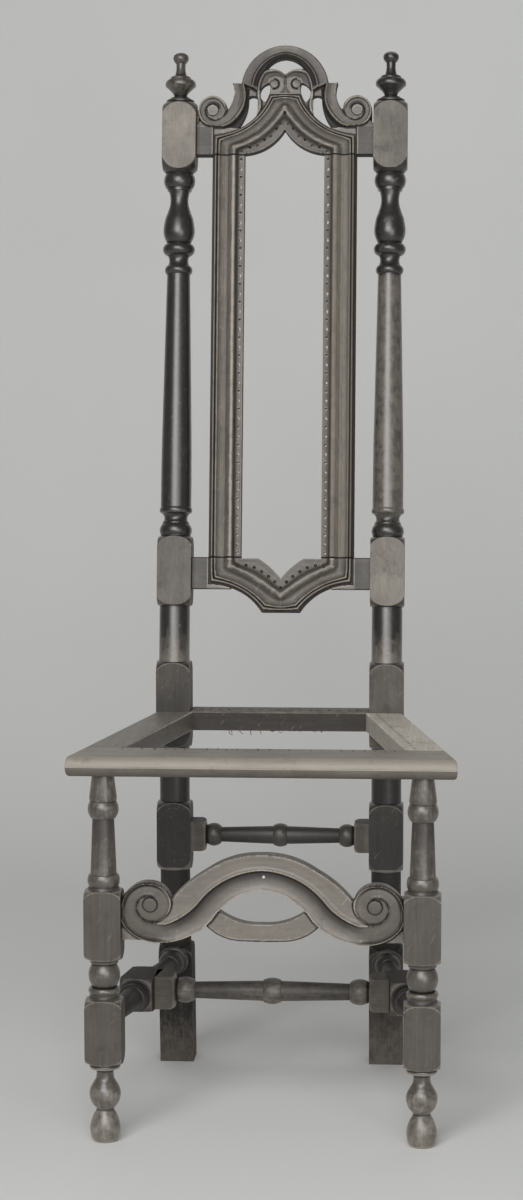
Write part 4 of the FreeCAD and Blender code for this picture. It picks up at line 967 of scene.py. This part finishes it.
def lower_face(u, v, deep):
    band = moulded(lower_guides, panel_moulding_shares, right_half(u), v) * moulding_depth
    return laid_over(rail_end_depth, band) - panel_front


# Painted shade and dirt on the lower rail: across its moulding, and at its ends by the posts.
def lower_soot(u, v):
    ends = stepped(np.abs(u), (panel_half, 0), (panel_half + 2, 0.55), (post_inner, 0.45))
    return laid_over(ends, 0.8 * moulded(lower_guides, panel_soot_shares, right_half(u), v))


lower = panel_rail("lower", lower_guides, even(-72, 0, 0.8), lower_inside, lower_face, lower_soot,
                   lower_hole_line, facing_back + 0.4, 0)
lower_place = leant(back_bend, -back_rake) @ moved(0, post_y, panel_low)
assembled("moulded_lower_back_rail", [(lower, lower_place)], "lower_back_rail")

# Stiles of the back. Straight lengths of the same moulding, tenoned into the crest rail and the
# lower rail, with a row of holes for the cane along the flat strip on their inner side.
stile_hole_spacing = 11.6
strip_hole_share = 0.64
dryness_of_side = {1: 0.9, -1: 0.0}
near_end = np.array([0.0, 0.7, 1.4, 2.4])
upright_panel_wood = old_wood("upright_panel_wood", "z", (0.14, 0.124, 0.105), dry_grey, 0.4,
                              dry=warm_brown)


def stile(side):
    def inside(u, v):
        return np.minimum.reduce([side * u - inner_x, panel_half - side * u, v, stile_length - v])

    def across(u, shares):
        place = np.where(side * u > ridge_x, (panel_half - side * u) / (panel_half - ridge_x),
                         1 + (ridge_x - side * u) / (ridge_x - inner_x))
        return stepped(place, *shares)

    def face(u, v, deep):
        return moulding_depth * across(u, panel_moulding_shares) - panel_front

    low, high = sorted((side * inner_x, side * panel_half))
    rows = np.concatenate([near_end, even(4, stile_length - 4, 3.2), stile_length - near_end[::-1]])
    # Its sawn sides are black: painted shade.
    mesh = carved("stile", even(low, high, 0.45), rows, inside, face, plain_back, upright_panel_wood,
                  seams=(0, stile_length), soot=lambda u, v: across(u, panel_soot_shares),
                  rub=lambda u, v: across(u, panel_rub_shares), sides=1.0, bare=dryness_of_side[side])
    hole_x = side * (ridge_x - strip_hole_share * (ridge_x - inner_x))
    gaps = math.floor(stile_length / stile_hole_spacing)
    holes = [(hole_x, 0, stile_length * (number + 0.5) / gaps) for number in range(gaps)]
    return bored(mesh, holes, cane_diameter, facing_back, back_rake, upright_panel_wood)


for side, hand in sides:
    assembled("moulded_stile_" + hand, [(stile(side), lower_place.copy())], "back_stile_" + hand)

# Seat frame. A front rail with a round worn nose sits on the front legs; splayed side rails run
# from it to the posts, and a square rail joins the posts. Holes line its inside, with the stubs of
# the cane still in the front and rear rows, and tufts of it under the rear rail.
rail_low = seat_low.z
rail_middle = (rail_low + seat_height) / 2
rail_half = (seat_height - rail_low) / 2
front_y = seat_low.y
front_back_y = seat_high.y
post_front_y = post_y - half_stock
post_back_y = post_y + half_stock
end_overhang, end_inset = 1.06, 1.1
seat_half = seat_high.x + end_overhang
splay = (seat_half - post_x - half_stock) / (post_front_y - front_y)
side_rail_width = 48.5
corner_radius = 5.0
nose_thickness = 0.8
hole_inset = 12
hole_spacing = 12.5
seat_wood = old_wood("seat_wood", "x", (0.3, 0.267, 0.226), (0.29, 0.258, 0.218), 0.45, figure=0.8,
                     coat=0.1)
side_seat_wood = old_wood("side_seat_wood", "y", warm_brown, (0.42, 0.38, 0.33), 0.45,
                          dry=(0.66, 0.61, 0.53), figure=0.8)
rear_seat_wood = old_wood("rear_seat_wood", "x", (0.05, 0.044, 0.037), (0.24, 0.213, 0.18), 0.6, coat=0.0)


# The sawn sides of the seat boards are darkened: painted shade.
def flat_board(name, columns, rows, inside, rounding, finish, holes, sides=0.45, **looks):
    """A level board of the seat frame: its outline lies in plan, and rounding gives how far its
    upper and lower faces are rounded over. looks are the marks that carved() takes."""
    mesh = carved(name, columns, rows, inside, lambda u, v, deep: rounding(u, v) - rail_half,
                  lambda u, v, deep: rail_half - rounding(u, v), finish, arris=1.2, level=1000,
                  sides=sides, **looks)
    places = np.empty(len(mesh.vertices) * 3)
    mesh.vertices.foreach_get("co", places)
    across, down, along = places.reshape(-1, 3).T
    mesh.vertices.foreach_set("co", np.stack([across, along, rail_middle * mm - down], 1).ravel())
    mesh.update()
    return bored(mesh, holes, cane_diameter, 0.0, 0.0, finish)


def seat_reach(y):
    """Half the width of the seat at a place from front to back."""
    return seat_half - (y - front_y) * splay


def rounded(short, radius):
    """How far an edge is rounded over, from how far each place lies inside its round part."""
    return radius - np.sqrt(radius ** 2 - short ** 2)


def row_of(start, end):
    """Holes along a straight line, at the middle height of the seat frame."""
    gaps = math.floor(math.dist(start, end) / hole_spacing)
    across, along = [[a + (b - a) * n / gaps for n in range(gaps + 1)] for a, b in zip(start, end)]
    return [(x, y, rail_middle) for x, y in zip(across, along)]


def front_inside(u, v):
    slant = (seat_reach(v) - end_inset - np.abs(u)) / math.hypot(1, splay)
    return np.minimum.reduce([slant, v - front_y, front_back_y - v])


def nose(u, v):
    short = np.clip(rail_half - (v - front_y), 0, rail_half)
    ends = np.clip(corner_radius - (seat_reach(v) - np.abs(u)), 0, corner_radius)
    both = np.maximum(rounded(short, rail_half), rounded(ends, corner_radius))
    return np.minimum(both, rail_half - nose_thickness / 2)


# The front rail is darker towards the middle of its length.
def nose_soot(u, v):
    return 0.3 * np.exp(-(u / 70) ** 2)


def nose_rub(u, v):
    return stepped(v - front_y, (0, 0.95), (9, 0.85), (14, 0.45), (26, 0.1), (40, 0.0))


def cane_end_tree():
    """Puts a short curled fibre of old cane in some holes of a row."""
    nodes, row, thickness, length, share, seed, finish = new_tree("cane_ends", {
        "Row": "Geometry", "Thickness": "Float", "Length": "Float", "Share": "Float", "Seed": "Int",
        "Finish": "Material"})
    root = nodes.add("ShaderNodeCombineXYZ", {}, {"Z": length * -0.5})
    bend = nodes.add("ShaderNodeCombineXYZ", {}, {"X": length * 0.5, "Z": length * 0.6})
    tip = nodes.add("ShaderNodeCombineXYZ", {}, {"X": length * 0.9, "Y": length * 0.2, "Z": length * 0.3})
    fibre = nodes.add("GeometryNodeCurveQuadraticBezier", {}, {
        "Resolution": 6, "Start": root, "Middle": bend, "End": tip})
    ring = nodes.add("GeometryNodeCurvePrimitiveCircle", {"mode": "RADIUS"}, {
        "Resolution": 6, "Radius": thickness})
    fibre = nodes.add("GeometryNodeCurveToMesh", {}, {
        "Curve": fibre, "Profile Curve": ring, "Fill Caps": True})
    chosen = nodes.add("FunctionNodeRandomValue", {"data_type": "BOOLEAN"}, {
        "Probability": share, "Seed": seed}, output=3)
    turn = nodes.add("FunctionNodeRandomValue", {"data_type": "FLOAT_VECTOR"}, {
        "Min": (-0.5, -0.5, 0), "Max": (0.5, 0.5, math.tau), "Seed": seed + 1})
    size = nodes.add("FunctionNodeRandomValue", {"data_type": "FLOAT"}, {
        "Min_001": 0.5, "Max_001": 1.2, "Seed": seed + 2}, output=1)
    fibres = nodes.add("GeometryNodeInstanceOnPoints", {}, {
        "Points": row, "Selection": chosen, "Instance": fibre, "Rotation": turn, "Scale": size})
    return ended(nodes, fibres, finish)


cane_ends = cane_end_tree()
old_cane = old_wood("old_cane", "z", (0.1, 0.085, 0.06), (0.2, 0.17, 0.13), 0.6, coat=0.0)


def fibres(places, thickness, length, share, seed):
    """Ends of cane left in a row of holes, in mm."""
    inputs = {"Thickness": thickness * mm, "Length": length * mm, "Share": share, "Seed": seed,
              "Finish": old_cane}
    ends = grown("fibres", point_row(places), cane_ends, inputs)
    ends.materials.clear()
    ends.materials.append(old_cane)
    return ends


def stubs(row, **cane):
    """Ends of cane that stand up out of a row of holes."""
    return fibres([(x, y, seat_height) for x, y, z in row], **cane)


nose_rows = front_y + rail_half * (1 - np.cos(np.radians(np.arange(0, 85, 7.5))))
front_rows = np.concatenate([nose_rows, even(front_y + rail_half, front_back_y, 1.2)])
row_x = seat_reach(front_back_y) - side_rail_width
row_y = front_back_y - hole_inset
front_row = row_of((-row_x, row_y), (row_x, row_y))
# The underside of the front rail is darkened: painted shade.
front = flat_board("front", even(-seat_half, seat_half, 1.6), front_rows, front_inside, nose, seat_wood,
                   front_row, rub=nose_rub, sides=0.1, behind=0.62, soot=nose_soot)
front_parts = (front, stubs(front_row, thickness=0.45, length=3.5, share=0.7, seed=9))
assembled("front_seat_board", [(part, as_made) for part in front_parts], "front_seat_rail")


def side_rail(side):
    def inside(u, v):
        outer = (seat_reach(v) - side * u) / math.hypot(1, splay)
        inner = (side * u - seat_reach(v) + side_rail_width) / math.hypot(1, splay)
        return np.minimum.reduce([outer, inner, v - front_back_y, post_front_y - v])

    def edge(u, v):
        return rounded(np.clip(corner_radius - (seat_reach(v) - side * u), 0, corner_radius), corner_radius)

    def hole(y):
        return side * (seat_reach(y) - side_rail_width + hole_inset), y

    ends = [side * seat_reach(front_back_y), side * (seat_reach(post_front_y) - side_rail_width)]
    row = row_of(hole(front_back_y + hole_inset), hole(post_front_y - hole_inset))
    columns, rows = even(min(ends), max(ends), 1.2), even(front_back_y, post_front_y, 2.4)
    return flat_board("side", columns, rows, inside, edge, side_seat_wood, row, bare=dryness_of_side[side])


for side, hand in sides:
    assembled("side_seat_board_" + hand, [(side_rail(side), as_made)], "side_seat_rail_" + hand)


def rear_inside(u, v):
    return np.minimum.reduce([post_inner - np.abs(u), v - post_front_y, post_back_y - v])


row_x = post_inner - hole_inset
row_y = post_y - half_stock / 4
rear_row = row_of((-row_x, row_y), (row_x, row_y))
rear = flat_board("rear", even(-post_inner, post_inner, 1.6), even(post_front_y, post_back_y, 1.6),
                  rear_inside, nowhere, rear_seat_wood, rear_row, rub=lambda u, v: np.full(u.shape, 0.75))
rear_stubs = stubs(rear_row, thickness=0.8, length=5.0, share=0.85, seed=4)
tufts = fibres([(x + n, post_front_y + 3 + 2 * n, rail_low) for x, y, z in rear_row for n in (-2, 0, 2)],
               thickness=0.5, length=-9.0, share=0.3, seed=12)
rear_parts = (rear, rear_stubs, tufts)
assembled("rear_seat_board", [(part, as_made) for part in rear_parts], "rear_seat_rail")

# Front legs. Turned feet, a knop between two square blocks that take the stretchers, and a tapered
# baluster above them, whose round tenon holds the front seat rail.
leg_low, leg_high = [Vector(corner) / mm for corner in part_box("front_leg_right")]
leg_x = (leg_low.x + leg_high.x) / 2
leg_y = (leg_low.y + leg_high.y) / 2
leg_foot_shares = (
    (0.0, 0.55), [(0.05, 0.74), (0.15, 0.83), (0.24, 0.79), (0.34, 0.63), (0.41, 0.455)], [(0.44, 0.56),
    (0.5, 0.75), (0.59, 0.855), (0.67, 0.81), (0.74, 0.65), (0.79, 0.52), (0.84, 0.47), (0.9, 0.465),
    (0.925, 0.49)], (0.93, 0.8), (0.985, 0.8, 0.85),
)
leg_knop_shares = (
    (0.06, 0.8), (0.13, 0.8), (0.28, 0.8, 0.872), (0.285, 0.62), (0.88, 0.62, 0.861), (0.885, 0.76),
    (0.95, 0.787),
)
leg_baluster_shares = (
    (0.03, 0.8), (0.13, 0.8, 0.876), (0.133, 0.72), (0.145, 0.708), (0.61, 0.589), (0.613, 0.66),
    (0.765, 0.68, 0.838), (0.768, 0.74), (0.79, 0.753), (1.0, 0.584),
)
front_wood = old_wood("front_leg_wood", "z", (0.075, 0.066, 0.055), (0.27, 0.24, 0.2), 0.36,
                      dry=(0.08, 0.07, 0.06), coat=1.0)
foot_top, knop_low, knop_high, upper_block_top = 98, 177, 227, 311
leg_rounding = 9
tenon_radius = 10
leg_rubbed = (
    (0, 0.66), (66, 0.55), (85, 0.1), (foot_top, 0.0), (upper_block_top, 0.0), (325, 0.4), (rail_low, 0.4))
for side, hand in sides:
    leg = Outline(0, half_stock)
    leg.stretch(0, foot_top, leg_foot_shares)
    leg.block(foot_top, knop_low, leg_rounding, leg_rounding)
    leg.stretch(knop_low, knop_high, leg_knop_shares)
    leg.block(knop_high, upper_block_top, leg_rounding, leg_rounding)
    leg.stretch(upper_block_top, rail_low, leg_baluster_shares)
    leg.line(tenon_radius, rail_low)
    leg.line(tenon_radius, rail_low + 10)
    leg_mesh = turned(leg, front_wood, rubbed=leg_rubbed)
    assembled("turned_front_leg_" + hand, [(leg_mesh, moved(side * leg_x, leg_y, 0))], "front_leg_" + hand)

# Front stretcher. Sawn and carved from one board: an arch with a ridge between two coves, which
# curls into a volute beside each leg, over a plain crescent. Its ends are tenoned into the legs.
leg_inner = leg_x - half_stock
carved_wood = old_wood("front_stretcher_wood", "x", (0.17, 0.151, 0.128), (0.36, 0.325, 0.28), 0.42,
                       figure=0.45)
stretcher_low_z = 249.0
stretcher_front = 15.0
stretcher_back = 10.0
tab_start, tab_low, tab_high = 139, 1.5, 56
eye_radius = 8.7
front_volute = (135.1, 45.8)
front_ridge = drawn((127.5, 22.5), (117.5, 21.8), ((97.9, 31.0), (76.0, 50.5)), ((40.1, 79.5), (0, 89.6)))
front_lower = drawn((0, 65.4), ((32.9, 55.4), (59.9, 28.6)), ((85.0, 9.5), (119.5, 0)))
front_outer = drawn((0, 108), ((34, 103.8), (66.3, 88.2)), ((90, 71.8), (109, 52)))
front_sweep = drawn((119.5, 0), ((145.6, 3.6), (165.5, 18.5)))
rim_turns = (
    (-30, 39), (0, 33.2), (45, 28.4), (90, 25.6), (135, 25.2), (180, 24.6), (225, 22.4), (270, 20.9),
    (315, 18.4), (360, 15.6), (400, 13.2), (440, 11.0), (470, 9.6))
front_rim = np.vstack([front_lower, front_sweep + (0, 1.0), coiled(front_volute, rim_turns)])
groove_turns = tuple((angle, radius + 1.4) for angle, radius in rim_turns if angle >= 135)
front_groove = coiled(front_volute, groove_turns)
arch_foot = np.vstack([front_ridge[::-1], coiled(front_volute, groove_turns[3:])])
front_outline = np.vstack([
    front_outer, coiled(front_volute, ((10, 34.6), (30, 31.2), (45, 29.4), (90, 26.6), (160, 26.2)))[::-1],
    [(leg_inner, 20.0)], front_sweep[::-1], front_lower[::-1]])
crescent_low = drawn((0, 0.6), (25.5, 1.2), ((46.7, 5.4), (68.7, 20.2)))
crescent_outline = np.vstack([crescent_low, drawn((60, 41), (53.5, 39.2), ((30.7, 26.7), (0, 22.6)))])
upper_part = np.vstack([front_outer, front_groove[:12], front_ridge])


def stretcher_inside(u, v):
    u = right_half(u)
    arch = depth_in(front_outline, u, v)
    crescent = depth_in(crescent_outline, u, v)
    tab = np.minimum.reduce([u - tab_start, leg_inner - u, v - tab_low, tab_high - v])
    return np.maximum.reduce([arch, crescent, tab])


def cove_share(u, v):
    """0 at the foot of the arch's lower cove, and 1 at its rim."""
    return share_between(away(arch_foot, u, v), away(front_rim, u, v))


def stretcher_face(u, v, deep):
    u = right_half(u)
    crescent = stepped(away(crescent_low, u, v), (0, 10.4), (2.2, 7.6), (2.9, 6.6), (3.8, 6.9), (20, 7.2))
    face = np.where(within(crescent_outline, u, v), crescent, 9.0)
    flat = stepped(share_between(away(front_outer, u, v), away(front_ridge, u, v)), (0, 1.2), (0.05, 0.9),
                   (0.12, 2.4), (0.35, 3.2), (0.75, 3.2), (0.9, 2.2), (0.96, 0.6), (1, 0.0))
    flat = np.maximum(flat, stepped(away(front_groove, u, v), (0, 4.6), (1.0, 3.8), (3.5, 2.6)))
    share = cove_share(u, v)
    straight = stepped(share, (0, 0.4), (0.04, 3.4), (0.14, 6.2), (0.34, 5.8), (0.7, 3.9), (0.9, 2.4),
                       (0.96, 1.2), (1, 0.9))
    rolled = stepped(share, (0, 3.4), (0.1, 3.6), (0.45, 5.4), (0.78, 6.2), (0.9, 4.6), (0.97, 0.8),
                     (1, 0.3))
    blend = np.clip((u - 104) / 26, 0, 1)
    on_arch = within(front_outline, u, v)
    face = np.where(on_arch, straight * (1 - blend) + rolled * blend, face)
    face = np.where(on_arch & within(upper_part, u, v), flat, face)
    radius, turn = round_centre(front_volute, u, v)
    face = np.where(radius < eye_radius, 2.2 + (radius / 8.6) ** 4 * 0.9, face)
    return face - stretcher_front


# Painted shade and dirt on the front stretcher: in its lower cove and round the volutes and their eyes.
def stretcher_soot(u, v):
    u = right_half(u)
    share = cove_share(u, v)
    on_arch = within(front_outline, u, v)
    blend = np.clip((u - 100) / 30, 0, 1)
    cove = stepped(share, (0, 0.3), (0.03, 1.0), (0.2, 0.85), (0.45, 0.56), (0.7, 0.36), (0.9, 0.1), (1, 0))
    rolled = stepped(share, (0, 0.6), (0.2, 0.5), (0.8, 0.5), (0.93, 0.75), (0.97, 0.9), (0.99, 0))
    soot = np.where(on_arch & ~within(upper_part, u, v), cove * (1 - blend) + rolled * blend, 0)
    radius, turn = round_centre(front_volute, u, v)
    soot = np.where(radius < 9.5, np.where(radius < 8.0, 0.55, 0.9), soot)
    return np.where(within(crescent_outline, u, v) & ~on_arch, 0, soot)


def stretcher_rub(u, v):
    return np.clip(1.6 - away(front_ridge, right_half(u), v), 0, 1)


# Its sawn sides are darkened a little: painted shade.
front_board = carved("front_board", even(-leg_inner, leg_inner, 0.8), even(0, 112, 0.8), stretcher_inside,
                     stretcher_face, lambda u, v, deep: np.full(u.shape, stretcher_back), carved_wood,
                     soot=stretcher_soot, rub=stretcher_rub, sides=0.3)
assembled("carved_front_stretcher", [(front_board, moved(0, leg_y, stretcher_low_z))], "front_stretcher")

# Turned stretchers. One joins the posts at the back, one runs from leg to post on each side, and
# the last joins the square blocks in the middle of those. Round tenons and pegs hold them.
side_stretcher_half = 21.0
rear_stretcher_half = 19.3
cross_stretcher_shares = (
    (0.015, 0.62), (0.205, 0.58, 0.785), (0.208, 0.5), (0.908, 0.61), (0.912, 0.68), (1.0, 0.8, 0.768),
)
side_stretcher_shares = (
    (0.005, 0.8), (0.06, 0.8, 0.9), (0.065, 0.6), (0.25, 0.58, 0.8), (0.255, 0.5), (0.86, 0.7),
    (0.865, 0.76), (0.935, 0.76, 0.86), (0.94, 0.72),
)
stretcher_wood = old_wood("stretcher_wood", "x", (0.05, 0.044, 0.037), warm_brown, 0.42,
                          dry=(0.08, 0.07, 0.06), coat=0.6)
side_stretcher_wood = old_wood("side_stretcher_wood", "y", (0.026, 0.023, 0.019), (0.18, 0.16, 0.135), 0.45,
                               dry=(0.035, 0.031, 0.026), coat=0.4)
stretcher_height = 143.0
middle_block_length = 70
hidden_end = 4
foot_y = post_y + (foot_bend - stretcher_height) * math.tan(foot_rake)
foot_front = foot_y - half_stock / math.cos(foot_rake)
side_start = Vector((leg_x, leg_y + half_stock, stretcher_height))
side_end = Vector((post_x, foot_front, stretcher_height))
side_run = side_end - side_start
side_splay = math.atan2(-side_run.x, side_run.y)
side_middle = (side_start + side_end) / 2
medial_shoulder = side_middle.x - side_stretcher_half / math.cos(side_splay)


def cross_stretcher(half_length, half_width, block_length, allowance, rubbed):
    """A stretcher that lies from left to right, with a short block at each end."""
    outline = Outline(-allowance, half_width)
    outline.line(half_width * corner_share, -allowance)
    outline.block_end(block_length, rounding=-6)
    outline.stretch(block_length, half_length, cross_stretcher_shares)
    outline.mirror_at(half_length)
    return turned(outline, stretcher_wood, rubbed=((0, rubbed),), facets=64)


lying = Matrix.Rotation(math.pi / 2, 4, "Y")
rear = cross_stretcher(post_inner, rear_stretcher_half, 19, allowance=0, rubbed=0.0)
rear_place = moved(-post_inner, post_y, rear_stretcher_height) @ lying
assembled("turned_rear_stretcher", [(rear, rear_place)], "rear_stretcher")
medial = cross_stretcher(medial_shoulder, side_stretcher_half, 20.6, hidden_end, rubbed=0.6)
medial_place = moved(-medial_shoulder, side_middle.y, stretcher_height) @ lying
assembled("turned_medial_stretcher", [(medial, medial_place)], "medial_stretcher")
for side, hand in sides:
    shoulder = (side_run.length - middle_block_length) / 2
    outline = Outline(-hidden_end, side_stretcher_half)
    outline.line(side_stretcher_half * 0.8, -hidden_end)
    outline.stretch(0, shoulder, side_stretcher_shares)
    outline.block_end(shoulder, rounding=6)
    outline.mirror_at(side_run.length / 2)
    place = moved(side * side_start.x, side_start.y, side_start.z)
    place = place @ Matrix.Rotation(side * side_splay, 4, "Z") @ Matrix.Rotation(-math.pi / 2, 4, "X")
    assembled("turned_side_stretcher_" + hand, [(turned(outline, side_stretcher_wood, facets=64), place)],
              "side_stretcher_" + hand)

# Pegs and nail. The pegs are split wood, driven through each joint and cut off flush. A small
# bright nail is left in the crown of the front stretcher.
peg_wood = old_wood("peg_wood", "y", (0.05, 0.042, 0.035), (0.15, 0.13, 0.105), 0.5)
nail_metal, nodes, shader = new_material("nail_metal")
spots = nodes.add("ShaderNodeTexNoise", {}, {"Scale": 900.0, "Detail": 3.0})
nodes.set(shader, {"Metallic": 1.0, "Base Color": spots.mix((0.85, 0.83, 0.8, 1), (0.55, 0.52, 0.48, 1)),
                   "Roughness": spots * 0.3 + 0.25})
for name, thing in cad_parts.items():
    if name.endswith("_pegs") or name == "stretcher_nail":
        thing.data.materials.clear()
        thing.data.materials.append(nail_metal if name == "stretcher_nail" else peg_wood)

# Room. A plain pale sweep of paper under and behind the chair, with painted shade towards its
# front, and clear from behind, a large soft lamp high on the left in front, a weak one on the right,
# and even light from all round.
sweep_half, sweep_front, sweep_back, sweep_top, sweep_bend = 4.0, -3.2, 2.2, 5.0, 1.0
floor_shade_full, pale_behind = -2.6, -0.6
bend_start = sweep_back - sweep_bend
sweep_line = [(sweep_front, 0.0), (bend_start, 0.0)]
for angle in range(6, 91, 6):
    turn = math.radians(angle)
    sweep_line.append((bend_start + sweep_bend * math.sin(turn), sweep_bend - sweep_bend * math.cos(turn)))
sweep_line.append((sweep_back, sweep_top))
sweep_mesh = bpy.data.meshes.new("paper_sweep")
sweep_mesh.from_pydata(
    [(x, y, z) for y, z in sweep_line for x in (-sweep_half, sweep_half)], [],
    [(2 * n, 2 * n + 1, 2 * n + 3, 2 * n + 2) for n in range(len(sweep_line) - 1)])
sweep_mesh.shade_smooth()
sweep = bpy.data.objects.new("paper_sweep", sweep_mesh)
bpy.context.collection.objects.link(sweep)
paper, nodes, shader = new_material("pale_paper")
place = nodes.add("ShaderNodeTexCoord", output=3)
spots = nodes.add("ShaderNodeTexNoise", {}, {"Vector": place, "Scale": 2.2, "Detail": 3.0})
pale = spots.mix((0.79, 0.79, 0.78, 1), (0.84, 0.84, 0.83, 1))
# The paper darkens towards its front: painted shade over the floor under the lamps.
front_floor_shade = nodes.add("ShaderNodeSeparateXYZ", {}, {0: place}, output=1).between(floor_shade_full, pale_behind)
seen_from_behind = nodes.add("ShaderNodeNewGeometry", output=6)
nodes.set(shader, {"Base Color": front_floor_shade.mix((0.3, 0.3, 0.295, 1), pale), "Roughness": 0.9,
                   "Alpha": 1 - seen_from_behind})
sweep_mesh.materials.append(paper)


def lamp(name, place, target, size, power):
    """An area lamp that shines from its place at the target."""
    data = bpy.data.lights.new(name, "AREA")
    data.shape = "RECTANGLE"
    data.size, data.size_y = size
    data.energy = power
    thing = bpy.data.objects.new(name, data)
    thing.location = place
    thing.rotation_euler = (Vector(target) - Vector(place)).to_track_quat("-Z", "Y").to_euler()
    bpy.context.collection.objects.link(thing)


lamp("window_light", place=(-0.6, -3.55, 2.3), target=(0, 0, 0.65), size=(2.5, 2.4), power=112)
lamp("fill_light", place=(1.2, -3.3, 0.9), target=(0, 0, 0.6), size=(1.6, 1.6), power=30)
world = bpy.data.worlds.new("room")
world.use_nodes = True
Nodes(world.node_tree).set(world.node_tree.nodes["Background"], {"Color": (1, 1, 1, 1), "Strength": 0.16})
bpy.context.scene.world = world
bpy.context.scene.view_settings.view_transform = "Standard"

# Camera. It stands in front of the chair, a little to its right, and looks slightly down.
sensor_height = 36.0
focal_pixels, photo_pixels = 2971.1, 1200
from_leg, camera_height = 3500.3, 1053.1
camera_data = bpy.data.cameras.new("camera")
camera_data.sensor_fit = "VERTICAL"
camera_data.sensor_height = sensor_height
camera_data.lens = sensor_height * focal_pixels / photo_pixels
camera = bpy.data.objects.new("camera", camera_data)
camera.location = Vector((232.4, leg_y - from_leg, camera_height)) * mm
camera.rotation_euler = (math.pi / 2 - 0.1108, 0.0014, 0.0664)
bpy.context.collection.objects.link(camera)
bpy.context.scene.camera = camera
